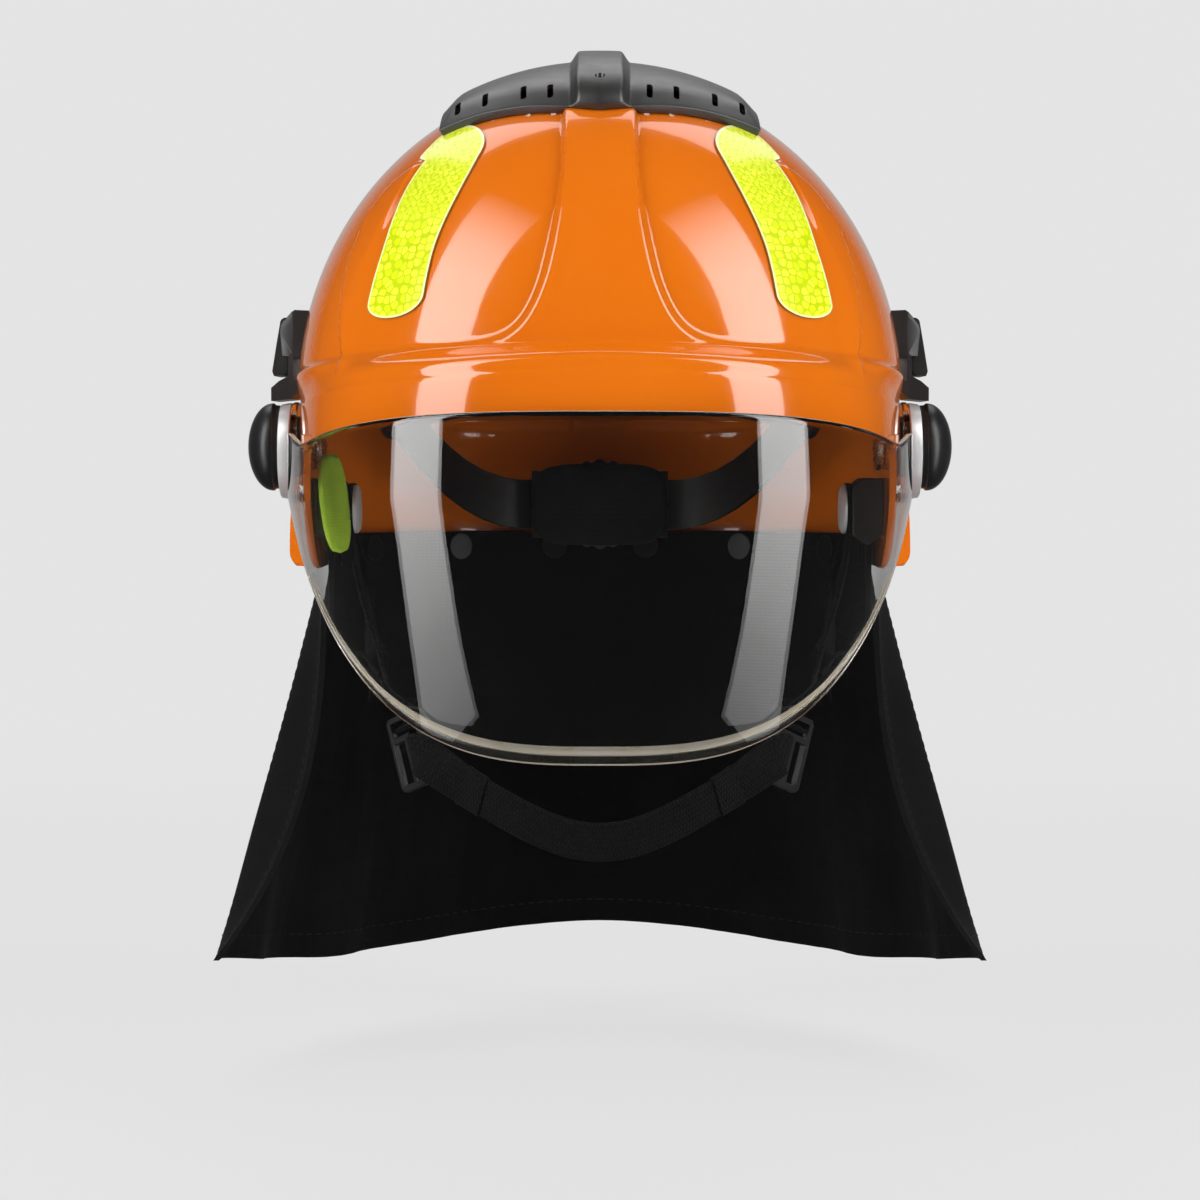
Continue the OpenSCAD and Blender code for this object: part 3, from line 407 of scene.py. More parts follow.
def smooth_piece(name, mesh, look, sharp):
    """An object of the mesh in one material, smooth except at sharp angles."""
    mesh.shade_smooth()
    mesh.set_sharp_from_angle(angle=math.radians(sharp))
    mesh.materials.clear()
    mesh.materials.append(look.material)
    return add_object(name, mesh)


def finish(name, shape, look, nodes=(), sharp=60, body="helmet", numbers=None):
    """A piece from points in millimetres and faces, on its body. Numbers are values that its points carry."""
    mesh = mesh_of(name, *shape)
    for key, values in (numbers or {}).items():
        mesh.attributes.new(key, "FLOAT", "POINT").data.foreach_set("value", values)
    mend(mesh, weld, face_out)
    piece = smooth_piece(name, mesh, look, sharp)
    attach(piece, body)
    if nodes:
        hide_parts(*nodes)
    return piece


def join(shapes):
    """Points and faces of several shapes as one."""
    verts, faces = [], []
    for v, f in shapes:
        faces += [tuple(i + len(verts) for i in face) for face in f]
        verts += v
    return verts, faces


def wall(outer, inner, ring=False, apex=None):
    """Points and faces of a solid between two grids of columns."""
    nu, nv = len(outer), len(outer[0])
    m = nu * nv
    verts = [p for c in outer for p in c] + [p for c in inner for p in c]
    faces = []
    steps = nu if ring else nu - 1
    for i in range(steps):
        a, b = i * nv, (i + 1) % nu * nv
        for j in range(nv - 1):
            faces.append((a + j, a + j + 1, b + j + 1, b + j))
            faces.append((m + a + j, m + b + j, m + b + j + 1, m + a + j + 1))
        faces.append((a, b, m + b, m + a))
        if apex:
            faces.append((a + nv - 1, 2 * m, b + nv - 1))
            faces.append((m + a + nv - 1, m + b + nv - 1, 2 * m + 1))
        else:
            faces.append((b + nv - 1, a + nv - 1, m + a + nv - 1, m + b + nv - 1))
    if apex:
        verts += apex
    if not ring:
        e = (nu - 1) * nv
        for j in range(nv - 1):
            faces.append((j + 1, j, m + j, m + j + 1))
            faces.append((e + j, e + j + 1, m + e + j + 1, m + e + j))
    return verts, faces


def tube(rings, closed=False):
    """Skin over rings of points, with its ends closed. A closed one joins its last ring to its first."""
    n, k = len(rings), len(rings[0])
    verts = [p for r in rings for p in r]
    faces = []
    for i in range(n if closed else n - 1):
        a, b = i * k, (i + 1) % n * k
        faces += [(a + j, a + (j + 1) % k, b + (j + 1) % k, b + j) for j in range(k)]
    if not closed:
        faces += [tuple(range(k))[::-1], tuple(range((n - 1) * k, n * k))]
    return verts, faces


def along_x(outline, s, near, far):
    """A closed shape for a cut: an outline in Y and Z, pushed along X at side s."""
    return tube([[(s * x, y, z) for y, z in outline] for x in (near, far)])


def along_z(outline, low, high):
    return tube([[(x, y, z) for x, y in outline] for z in (low, high)])


def cut(piece, tools):
    """Takes the closed shapes in tools, each points and faces in millimetres, out of the piece."""
    mesh = mesh_of("cutter", *join(tools))
    mend(mesh, face_out)
    cutter = add_object("cutter", mesh)
    hole = piece.modifiers.new("holes", "BOOLEAN")
    hole.object = cutter
    hole.solver = "EXACT"
    shapes = bpy.context.evaluated_depsgraph_get()
    done = bpy.data.meshes.new_from_object(piece.evaluated_get(shapes))
    piece.modifiers.clear()
    piece.data = done
    done.set_sharp_from_angle(angle=math.radians(38))
    bpy.data.objects.remove(cutter)
    return piece


def both(maker):
    for side, s in (("left", 1), ("right", -1)):
        maker(side, s)


def round_edges(piece, width, angle, steps=2):
    """Rounds the edges that turn by more than an angle."""
    bevel = piece.modifiers.new("edges", "BEVEL")
    bevel.width = width * MM
    bevel.segments = steps
    bevel.limit_method = "ANGLE"
    bevel.angle_limit = math.radians(angle)
    return bevel


def dress(node, look, width, steps=2):
    """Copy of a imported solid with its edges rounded, which stands for it."""
    source = frame["nodes"][node]
    mesh = source.data.copy()
    mend(mesh, weld, merge_flats)
    piece = smooth_piece(node + "_finished", mesh, look, 40)
    round_edges(piece, width, 32, steps).harden_normals = True
    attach(piece, source["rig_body"])
    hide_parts(node)


# Shell, by the same sizes and formulas as the part's source

DOME_W, DOME_FRONT, DOME_REAR, DOME_H, DOME_Z = 115, 124.5, 141, 121.8, 18
WALL, BRIM_FRONT, BRIM_Z = 3, 139, 12.2
SHELF_FRONT, SHELF_SIDE, SHELF_REAR, SHELF_DROP = 33, 20, 8, 5.4
SKIRT_Z, SKIRT_W, SKIRT_REAR = 47, 128, 150
PANEL_H, PANEL_HALF, LEAF_TOP, FLANK_X = 2.6, 12.9, 103.2, 113.6
PLAN_N, BRIM_N = 2.2, 2.3
CLIP_Y, CLIP_END, CLIP_TOP, CLIP_LOW = -5, 27, 52, 24
STUD_BORE = 4.3


def oval(a, w, f, r, n):
    return ((abs(sind(a)) / w) ** n + (abs(cosd(a)) / (f if cosd(a) > 0 else r)) ** n) ** (-1 / n)


def spot(a, r, z):
    return (r * sind(a), -r * cosd(a), z)


def edge_z(a):
    b = abs(a)
    return BRIM_Z * (1 - (b / 62) ** 2.4) if b < 62 else -SKIRT_Z * smooth((b - 62) / 30)


def shelf_z(a):
    b = abs(a)
    if b < 90:
        return lerp(SHELF_FRONT, SHELF_SIDE, (b / 90) ** 1.3)
    return lerp(SHELF_SIDE, SHELF_REAR, smooth((b - 90) / 90))


def band_z(a):
    return shelf_z(a) - SHELF_DROP


def edge_r(a):
    front = oval(a, FLANK_X, BRIM_FRONT, DOME_REAR, BRIM_N)
    back = oval(a, SKIRT_W, DOME_FRONT, SKIRT_REAR, PLAN_N)
    return lerp(front, back, smooth((abs(a) - 92) / 18))


def band_r(a):
    b = abs(a)
    behind_clip = 5 * smooth((b - 94) / 10) * (1 - smooth((b - 122) / 30))
    return edge_r(a) - 1.4 * (1 - smooth((b - 50) / 25)) - 4.5 * smooth((b - 100) / 40) - behind_clip


def dome_r(a, z):
    level = max(0, z - DOME_Z) / DOME_H
    return oval(a, DOME_W, DOME_FRONT, DOME_REAR, PLAN_N) * math.sqrt(max(0, 1 - level * level))


def blend_min(p, q, k):
    """The lesser of two distances, with the corner between them rounded over k."""
    h = max(k - abs(p - q), 0) / k
    return min(p, q) - h * h * k / 4


def middle_lift(a, z):
    """The middle panel is a band of one width that flares at the front into the shelf above the brim."""
    b = 180 - abs(a) if abs(a) > 90 else abs(a)
    side = dome_r(a, z) * sind(b) - PANEL_HALF
    if abs(a) > 90:
        return 1 - bevel_step((side + 1.3) / 2.6)
    flare = 26 * math.exp(-(b - 8.6) / 3)
    front = (z - shelf_z(a) - 2.3 - flare) / math.hypot(1, flare / 3 / 2.1)
    slope = lerp(5, 1.8, smooth((z - 62) / 40))
    return 1 - bevel_step((blend_min(side, front, 6) + 1) / slope)


STICKER_LOW, STICKER_TOP, STICKER_T, STICKER_MIDDLE, STICKER_SLOPE = 45, 116.5, 0.4, 38, 1.17


def round_off(t):
    """Quarter of a circle, from 0 at t = 0 to 1 at t = 1."""
    return 1 - math.sqrt(1 - clamp01(t) ** 2)


def sticker_in(z):
    """The sticker's edge towards the middle, as an azimuth: nearly straight, with round corners."""
    return 30.7 - 2 * smooth((z - 66) / 36) + 13.8 * round_off((z - 105) / 11.5) + 7 * round_off((53 - z) / 8)


def sticker_side(z):
    """The sticker's edge along the leaf."""
    return 43.5 + 2.2 * smooth((z - 66) / 34)


def sticker_out(z):
    wider = 3.7 * smooth((z - LEAF_TOP) / 1.2)
    return sticker_side(z) + wider - 5.4 * round_off((50.5 - z) / 5.5) - 6.6 * round_off((z - 111) / 5.5)


def leaf_out(z):
    return 55.6 - (5.7 * ((82 - z) / 47) ** 1.7 if z < 82 else 8.6 * ((z - 82) / 21.5) ** 3)


def leaf_lift(a, z):
    b = abs(a)
    if not 26 < z < LEAF_TOP or not 42 < b < 58:
        return 0.0
    scale = math.radians(dome_r(a, z))
    rise = (b - sticker_side(z) - 0.3) * scale / lerp(13, 2.2, smooth((z - 52) / 42))
    edge = blend_min((leaf_out(z) - b) * scale, (LEAF_TOP - z) * 1.1, 4)
    return smooth(rise) * bevel_step(edge / 1.8)


def lift(a, z):
    return PANEL_H * middle_lift(a, z) + 0.6 * PANEL_H * leaf_lift(a, z)


def flank_limit(y, z):
    """Half the width over the flanks, with a little room where the raised visor sweeps past."""
    flat = FLANK_X - 1.4 - (0.1 * (z - CLIP_LOW) if z > CLIP_LOW else 0)
    near = smooth((y - CLIP_Y + 14) / 7) * smooth((CLIP_END + 10 - y) / 8)
    near *= smooth((z - 17) / 6) * smooth((CLIP_TOP + 7 - z) / 6)
    swept = 0.4 * smooth((-20 - y) / 8) * smooth((z - 4) / 8)
    return lerp(FLANK_X - 0.05 * max(0, z - 20), flat, near) - swept + 16 * smooth((y - CLIP_END - 3) / 22)


def flatten(p, d=0):
    return (math.copysign(min(abs(p[0]), flank_limit(p[1], p[2]) - d), p[0]), p[1], p[2])


def soften(points):
    """Cuts the corners of an open line twice."""
    for _ in range(2):
        middle = [between(p, q, t) for p, q in zip(points, points[1:]) for t in (0.25, 0.75)]
        points = [points[0]] + middle + [points[-1]]
    return points


def dome_point(a, e, d):
    z = DOME_Z + DOME_H * sind(e)
    up = lift(a, z)
    return spot(a, dome_r(a, z) + (up - d) * cosd(e), z + (up - d) * sind(e))


def shell_column(a, d):
    z0, z1, z2 = edge_z(a), band_z(a), shelf_z(a)
    e0 = math.degrees(math.asin((z2 + 4 - DOME_Z) / DOME_H))
    low = []
    for t in (0, 0.012, 0.03, 0.055, 0.085, 0.13, 0.2, 0.3, 0.4, 0.5, 0.6, 0.7, 0.8, 0.9):
        tuck = 2.6 * smooth((abs(a) - 90) / 10) * clamp01(1 - t / 0.085) ** 2
        low.append(spot(a, lerp(edge_r(a), band_r(a), t * t) - d - tuck, lerp(z0, z1, t)))
    rim = [
        spot(a, band_r(a) - d - 0.2, z1 - 0.3),
        spot(a, max(band_r(a) - 0.8, dome_r(a, z2) + 0.3) - d, z2 - 0.9 - 0.3 * d),
        spot(a, dome_r(a, z2) + lift(a, z2 + 3) - d, z2 + 3 - 0.3 * d),
    ]
    corner = soften([low[-1]] + rim + [dome_point(a, e0 + 0.35, d)])
    levels = spread(e0 + 0.35, 26, 40) + spread(26.9, 50, 26) + spread(51.8, 88, 20)
    return [flatten(p, d) for p in low[:-1] + corner[:-1] + [dome_point(a, e, d) for e in levels]]


def fine_azimuths():
    marks = set()
    a = 0.0
    while a <= 180:
        marks.add(round(a, 2))
        panel = 5 < a < 20 or 172 < a < 176.5
        a += 0.4 if panel else 0.45 if 42.5 < a < 58.5 else 1.0 if a < 62 else 1.5
    marks.add(180.0)
    half = sorted(marks)
    return half + [-m for m in half[-2:0:-1]]


def make_shell():
    azimuths = fine_azimuths()
    outer = [shell_column(a, 0) for a in azimuths]
    inner = [shell_column(a, WALL) for a in azimuths]
    for out, into in zip(outer, inner):
        p, q = out[0], into[0]
        low = min(p[2], q[2]) - 0.35
        out.insert(0, (*between(p[:2], q[:2], 0.18), low))
        into.insert(0, (*between(q[:2], p[:2], 0.3), low))
    apex = [(0, 0, DOME_Z + DOME_H + PANEL_H), (0, 0, DOME_Z + DOME_H - WALL)]
    shape = wall(outer, inner, True, apex)
    piece = finish("shell_finished", shape, shell_look, ["shell"], 42)
    cut(piece, [along_x(circle(STUD_BORE, 12), s, 104, 122) for s in (1, -1)])


make_shell()


# Vent cover

CREST_W, CREST_FRONT, CREST_REAR, CREST_H, CREST_WALL = 57, 71, 76, 5.2, 2
CREST_EDGE, CREST_TAPER = 2.4, 0.13
RIB_H, RIB_W, SEAT = 4, 9, 0.4
SLOTS, SLOT_R, SLOT_HALF = (17.3, 26.6, 40, 49.6), 1.15, 3.4
SCREW_R, SCREW_Y, SCREW_HOLE = 1.5, -64, 1.9


def dome_top(x, y):
    reach = DOME_FRONT if y < 0 else DOME_REAR
    q = ((abs(x) / DOME_W) ** PLAN_N + (abs(y) / reach) ** PLAN_N) ** (2 / PLAN_N)
    return DOME_Z + DOME_H * math.sqrt(max(0.01, 1 - q))


def dome_slope(x, y):
    gx = (dome_top(x - 2, y) - dome_top(x + 2, y)) / 4
    gy = (dome_top(x, y - 2) - dome_top(x, y + 2)) / 4
    return Vector((gx, gy, 1)).normalized()


def dome_at(x, y, d):
    n = dome_slope(x, y)
    return (x + d * n.x, y + d * n.y, dome_top(x, y) + d * n.z)


def crest_y0(x):
    return -CREST_FRONT + 19 * (abs(x) / CREST_W) ** 1.25


def crest_y1(x):
    return CREST_REAR - 14 * (abs(x) / CREST_W) ** 2


def crest_half(y):
    return CREST_W * (1 - CREST_TAPER * clamp01((y + CREST_FRONT) / (CREST_FRONT + CREST_REAR)) ** 2)


def rib(x):
    return RIB_H * (1 - smooth((abs(x) - RIB_W + 2) / 4))


def ridge(t):
    """Rises straight to 1 with a small rounding at the top."""
    t = max(0.0, t)
    return t if t < 0.8 else 1 - 0.2 * math.exp(-(t - 0.8) / 0.2)


def crest_rise(x, y):
    front, rear = y - crest_y0(x), crest_y1(x) - y
    edge = min(ridge(front / 10), ridge(rear / 10), ridge((crest_half(y) - abs(x)) / 7))
    ends = smooth((front + 5) / 9) * smooth((rear + 5) / 9)
    return CREST_EDGE + PANEL_H * 0.4 + (CREST_H - CREST_EDGE) * edge + rib(x) * ends


def ease_ends(n, first):
    """Marks from 0 to 1 with the first step about first wide, growing towards the middle."""
    marks = [0.0]
    step = first
    while marks[-1] < 0.5:
        marks.append(min(0.5, marks[-1] + step))
        step = min(step * 1.25, 1 / n)
    return marks + [1 - m for m in marks[-2::-1]]


def crest_point(u, v, top):
    x = u * CREST_W * (1 - CREST_TAPER * v * v)
    y = lerp(crest_y0(x), crest_y1(x), v)
    if top:
        return dome_at(x, y, crest_rise(x, y))
    on_rim = v in (0, 1) or abs(u) == 1
    low = SEAT + lift(math.degrees(math.atan2(x, -y)), dome_top(x, y)) * (dome_top(x, y) < 139)
    return dome_at(x, y, low if on_rim else max(SEAT + PANEL_H, crest_rise(x, y) - CREST_WALL))


def slot_cutter(x, front, s):
    """A slot through the cover's sloping end wall: a capsule pushed along the wall's own normal."""
    y = crest_y0(x) + 7.6 + 0.05 * max(0, x - 40) if front else crest_y1(x) - 7.6
    f = -1 if front else 1
    out = Vector((0.12, f * 0.66, 0.74)).normalized()
    up = Vector((0, -f * 0.74, 0.66)).normalized()
    side = up.cross(out).normalized()
    centre = Vector(dome_at(x, y, crest_rise(x, y)))
    outline = []
    for k in range(16):
        a = math.radians(22.5 * k)
        rise = SLOT_R * math.sin(a) + math.copysign(SLOT_HALF, math.sin(a + 1e-6))
        outline.append(side * SLOT_R * math.cos(a) + up * rise)
    rings = [[centre + p + out * t for p in outline] for t in (-3.2, 4)]
    return tube([[(s * p.x, p.y, p.z) for p in r] for r in rings])


def make_crest():
    us = sorted(set([2 * m - 1 for m in ease_ends(56, 0.006)] + [k * 0.009 for k in range(-22, 23)]))
    vs = ease_ends(44, 0.008)
    grids = [[[crest_point(u, v, top) for v in vs] for u in us] for top in (True, False)]
    piece = finish("vent_crest_finished", wall(*grids), crest_look, ["vent_crest"], 45)
    round_edges(piece, 0.5, 50)
    tools = [slot_cutter(x, f, s) for x in SLOTS for f in (True, False) for s in (1, -1)]
    seat = dome_top(0, SCREW_Y) + crest_rise(0, SCREW_Y) - 1.6
    tools.append(along_z(circle(SCREW_HOLE, 24, (0, SCREW_Y)), seat - 20, seat + 20))
    cut(piece, tools)


def make_crest_screw():
    """A small screw at the bottom of its hole, with a cross in its head."""
    seat = dome_top(0, SCREW_Y) + crest_rise(0, SCREW_Y) - 2.2
    profile = ((SCREW_R, -6), (SCREW_R, -1), (1.75, -1), (1.75, 0.5), (1.3, 0.9), (0.6, 1))
    turning = tube([[(x, y, seat + h) for x, y in circle(r, 36, (0, SCREW_Y))] for r, h in profile])
    # The screw's dark steel is painted shade for the bottom of its hole.
    piece = finish("crest_screw_finished", turning, dark_steel_look, ["crest_screw"], sharp=40)
    cross = []
    for c, q in ((1, 0), (0, 1), (-1, 0), (0, -1)):
        cross += [(c * x - q * y, SCREW_Y + q * x + c * y) for x, y in ((1, -0.2), (1, 0.2), (0.2, 0.2))]
    cut(piece, [along_z(cross, seat + 0.3, seat + 2)])


make_crest()
make_crest_screw()


# Reflective stickers


def edge_distance(p, outline):
    """Least distance from a flat point to a closed outline."""
    best = 1e9
    for (ax, ay), (bx, by) in zip(outline, outline[1:] + outline[:1]):
        dx, dy = bx - ax, by - ay
        k = clamp01(((p[0] - ax) * dx + (p[1] - ay) * dy) / (dx * dx + dy * dy + 1e-9))
        best = min(best, math.hypot(p[0] - ax - k * dx, p[1] - ay - k * dy))
    return best


def make_sticker(side, s):
    """A film over the dome. Across and along count millimetres on it, and rim is the distance to its edge."""
    def flat_spot(a, z):
        return (dome_r(a, z) * math.radians(a - STICKER_MIDDLE), (z - STICKER_LOW) * STICKER_SLOPE)

    levels = [lerp(STICKER_LOW, STICKER_TOP, m) for m in ease_ends(74, 0.002)]
    outline = [flat_spot(sticker_in(z), z) for z in levels]
    outline += [flat_spot(sticker_out(z), z) for z in levels[::-1]]
    outer, inner = [], []
    numbers = {"across": [], "along": [], "rim": []}
    for u in ease_ends(26, 0.012):
        angles = [lerp(sticker_in(z), max(sticker_out(z), sticker_in(z) + 0.05), u) for z in levels]
        for d, grid in ((SEAT + STICKER_T, outer), (SEAT, inner)):
            column = []
            for a, z in zip(angles, levels):
                r = dome_r(a, z)
                column.append(spot(s * a, r + d * r / dome_r(a, DOME_Z), z + d * (z - DOME_Z) / DOME_H))
            grid.append(column)
        for a, z in zip(angles, levels):
            across, along = flat_spot(a, z)
            numbers["across"].append(across)
            numbers["along"].append(along)
            numbers["rim"].append(edge_distance((across, along), outline))
    for key in numbers:
        numbers[key] *= 2
    finish(f"sticker_{side}_finished", wall(outer, inner), sticker_look, [f"reflective_sticker_{side}"],
           50, numbers=numbers)


both(make_sticker)


# Visor

VISOR_W, VISOR_FRONT, VISOR_Z, VISOR_T, VISOR_RIM, VISOR_N = 117.8, 144.2, 111, 2.5, 3.8, 2.55
LUG_R, BUSH_R = 17.2, 9
LOW_R = LUG_R * 1.25


def visor_d(z):
    return VISOR_FRONT - 30 * (max(0, BRIM_Z - z) / (VISOR_Z + BRIM_Z)) ** 2.2


def visor_hw(z):
    return VISOR_W - 18 * (max(0, -18 - z) / (VISOR_Z - 18)) ** 0.98


def visor_y0(f):
    return -VISOR_FRONT * max(0, cosd(f)) ** (2 / VISOR_N)


def round_z(y, r):
    return 0 if abs(y) >= LUG_R else r * math.sqrt(1 - (y / LUG_R) ** 2)


def visor_top(f):
    b = abs(f)
    under_brim = BRIM_Z * (1 - (min(b, 64) / 64) ** 2.4) + 5 * smooth((b - 58) / 20)
    return max(round_z(visor_y0(f), LUG_R), under_brim)


def visor_low(f):
    return min(-round_z(visor_y0(f), LOW_R), -VISOR_Z * (1 - (abs(f) / 90) ** 2.15))


def visor_point(f, z, d):
    """The sheet's section gets a little squarer towards its bottom."""
    n = 2 / (VISOR_N + 0.26 * clamp01((BRIM_Z - z) / (VISOR_Z + BRIM_Z)) ** 1.2)
    x = (visor_hw(z) - d) * abs(sind(f)) ** n
    return (math.copysign(x, f), -(visor_d(z) - d) * max(0, cosd(f)) ** n, z)


def visor_rows():
    """Depth in from the outer face and share of the height, all the way round the sheet's section."""
    marks = [0.0, 0.002, 0.006, 0.012, 0.02, 0.03, 0.036, 0.044, 0.06] + spread(0.09, 0.97, 26)
    marks += [0.985, 0.994, 0.998, 1.0]
    return [(t, 0.9 * round_off(max(1 - t / 0.012, (t - 0.988) / 0.012))) for t in marks]


def make_visor():
    fs = spread(0, 60, 60) + spread(61, 86, 50) + [86.6, 87.2, 87.8, 88.4, 89.2, 90]
    ys = [2, 4, 6, 8, 10, 12, 13.5, 15, 16, 16.7, LUG_R - 0.25]
    rows = visor_rows()

    def column(f, s, y, inside):
        out = []
        for t, inset in rows:
            thick = lerp(VISOR_T, VISOR_RIM, smooth(1 - (t - 0.03) / 0.02)) if abs(f) < 70 else VISOR_T
            d = thick - inset if inside else inset
            if y is None:
                z = lerp(visor_low(f), visor_top(f), t)
                out.append(visor_point(f * s, z, d))
            else:
                out.append((s * (VISOR_W - d), y, lerp(-round_z(y, LOW_R), round_z(y, LUG_R), t)))
        return out

    def grid(inside):
        left = [column(90, 1, y, inside) for y in ys]
        right = [column(90, -1, y, inside) for y in reversed(ys)]
        middle = [column(f, -1, None, inside) for f in reversed(fs[1:])]
        middle += [column(f, 1, None, inside) for f in fs]
        return right + middle + left

    verts, faces = wall(grid(False), grid(True))
    piece = finish("visor_finished", (verts, faces), visor_look, ["visor"], 50, "visor")
    piece.data.materials.append(edge_look.material)
    nv = len(rows)
    marked = set()
    for face in faces:
        levels = [i % nv for i in face]
        ends = max(levels) <= 2 or min(levels) >= nv - 2
        step = all(i >= len(verts) // 2 for i in face) and 6 <= min(levels) and max(levels) <= 8
        in_front = sum(verts[i][1] for i in face) < -30 * len(face)
        if in_front and (ends or step):
            marked.add(tuple(round(sum(verts[i][k] for i in face) / len(face), 2) for k in range(3)))
    for polygon in piece.data.polygons:
        if tuple(round(c / MM, 2) for c in polygon.center) in marked:
            polygon.material_index = 1
    cut(piece, [along_x(circle(BUSH_R + 0.1, 36), s, 110, 124) for s in (1, -1)])


make_visor()


# Turned pieces at the pivots

RING_R, RING_DROP, RING_T, KNOB_R, KNOB_H, STUD_R = 18.4, -1.6, 4.4, 16.75, 12.4, 4
RING_X = VISOR_W + 0.15
KNOB_X = RING_X + RING_T + 0.3


def turned(name, profile, s, look, body, nodes=(), turns=96, at=(0, 0)):
    """Closed outline of radius and distance, turned about a line along X through the point at, in Y and Z."""
    way = circle(1, turns)
    shape = tube([[(s * x, at[0] + r * y, at[1] + r * z) for r, x in profile] for y, z in way], True)
    return finish(name, shape, look, nodes, 30, body)


def make_pivot(side, s):
    x, t, r = RING_X, RING_T, RING_R
    ring = [(6.5, x), (r - 0.3, x), (r, x + 0.3), (r, x + t * 0.35), (r - 0.5, x + t - 0.3), (r - 0.9, x + t),
            (r - 1.6, x + t), (r - 3.2, x + t * 0.72), (6.5, x + t * 0.72)]
    turned(f"ring_{side}_finished", ring, s, ring_look, "visor", [f"visor_ring_{side}"],
           at=(0, RING_DROP))
    x, r = KNOB_X, KNOB_R
    top = x + KNOB_H
    knob = [(STUD_R + 0.1, x), (r - 1.2, x), (r - 0.8, x + 0.3), (r - 0.7, x + 1.7), (r - 0.5, x + 2.1),
            (r - 0.1, x + 2.3), (r, x + 2.6)]
    knob += [(r * cosd(e), x + 2.9 + (KNOB_H - 2.9) * sind(e)) for e in spread(0, 86, 26)]
    knob += [(0.3, top), (0.3, top - 3), (STUD_R + 0.1, top - 4)]
    piece = turned(f"knob_{side}_finished", knob, s, knob_look, f"knob_{side}", [f"visor_knob_{side}"])
    cut(piece, [along_x([(-1, -4), (1, -4), (1, 4), (-1, 4)], s, top - 2, top + 3)])


def make_stop(side, s):
    """A small pin on the flank that meets the visor's lug at the end of its travel."""
    pin = [(r, FLANK_X + x) for r, x in ((0.2, -1), (2, -1), (2, 0.9), (1.7, 1.2), (0.2, 1.2))]
    turned(f"stop_pin_{side}", pin, s, dark_steel_look, "helmet", turns=32, at=(-16, -1))


both(make_pivot)
both(make_stop)


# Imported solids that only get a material, and ones that also get rounded edges

BARE = {"pivot_stud": steel_look, "friction_washer": rubber_look, "visor_bush": black_look,
        "clip_pin": steel_look}
PAIRS = (("side_clip", clip_look, 0.5), ("clip_lever", clip_look, 0.5), ("strap_hanger", black_look, 0.6),
         ("strap_snap", ring_look, 0.3), ("slide_adjuster", black_look, 0.5, 3),
         ("nape_strap", black_look, 0.2, 1))
# The cape snaps take the dark steel, whose colour is painted shade for the helmet's shaded inside.
SINGLES = (("size_housing", black_look, 0.5), ("size_cover", black_look, 0.5), ("size_knob", dial_look, 0.5),
           ("crown_clips", black_look, 0.5), ("clip_screws", steel_look, 0.25),
           ("cape_snaps", dark_steel_look, 0.3))
for side in ("left", "right"):
    for node, look in BARE.items():
        materials = frame["nodes"][f"{node}_{side}"].data.materials
        materials.clear()
        materials.append(look.material)
    for node, *rest in PAIRS:
        dress(f"{node}_{side}", *rest)
for single in SINGLES:
    dress(*single)


# Head harness

HEAD_W, HEAD_L, HEAD_Y = 78, 98, 5
BAND_H, BAND_T, SWEAT_T, LINER_T, LINER_LOW, CROWN_W = 26, 1.8, 5, 12, 60, 22
WEB_W, WEB_T = 15, 1.4
BAND_END, SWEAT_END, CROWN_AZIMUTH, CROWN_LOW = 112, 72, 38, 39.5


def head_spot(a, d, z):
    r = oval(a, HEAD_W + d, HEAD_L + d, HEAD_L + d, PLAN_N)
    return Vector((r * sind(a), HEAD_Y - r * cosd(a), z))


def head_out(a):
    p = head_spot(a + 1, 0, 0) - head_spot(a - 1, 0, 0)
    return Vector((p.y, -p.x, 0)).normalized()


def band_level(a):
    return lerp(34, 16, smooth(abs(a) / 110))


def strip(route, wide, thin, w, t, edge=0.5):
    """Rings of a flat strip with rounded edges, and the numbers across and along it."""
    rings, across, along = [], [], []
    length = 0.0
    inner = [-0.5 * w + 0.35 * t] + spread(-0.4 * w, 0.4 * w, 8) + [0.5 * w - 0.35 * t]
    section = [(-0.5 * w, edge * 0.5 * t)] + [(x, 0.5 * t) for x in inner] + [(0.5 * w, edge * 0.5 * t)]
    section += [(x, -y) for x, y in reversed(section)]
    for i, p in enumerate(route):
        if i:
            length += (Vector(p) - Vector(route[i - 1])).length
        rings.append([tuple(Vector(p) + wide[i] * x + thin[i] * y) for x, y in section])
        across += [x for x, _ in section]
        along += [length] * len(section)
    return rings, {"across": across, "along": along}


def headings(route):
    """The way along a route at each of its points."""
    return [q - p for p, q in zip([route[0]] + route[:-1], route[1:] + [route[-1]])]


def make_liner():
    """A foam bowl with shallow grooves inside."""
    def column(a, d):
        e0 = math.degrees(math.asin((LINER_LOW - DOME_Z) / DOME_H))
        out = []
        for k in range(41):
            e = lerp(e0, 90, k / 41)
            groove = 1.6 * (0.5 + 0.5 * math.cos(math.radians(6 * a))) ** 8 if d and k > 3 else 0
            f = WALL + 1 + (d - groove) * (1 if k > 2 else 0.6 + 0.13 * k)
            r = oval(a, DOME_W, DOME_FRONT, DOME_REAR, PLAN_N) - f
            out.append(spot(a, r * cosd(e), DOME_Z + (DOME_H - f) * sind(e)))
        return out

    azimuths = [2.0 * k for k in range(180)]
    top = DOME_Z + DOME_H - WALL - 1
    shape = wall([column(a, 0) for a in azimuths], [column(a, LINER_T) for a in azimuths], True,
                 [(0, 0, top), (0, 0, top - LINER_T)])
    finish("impact_liner_finished", shape, foam_look, ["impact_liner"], 40)


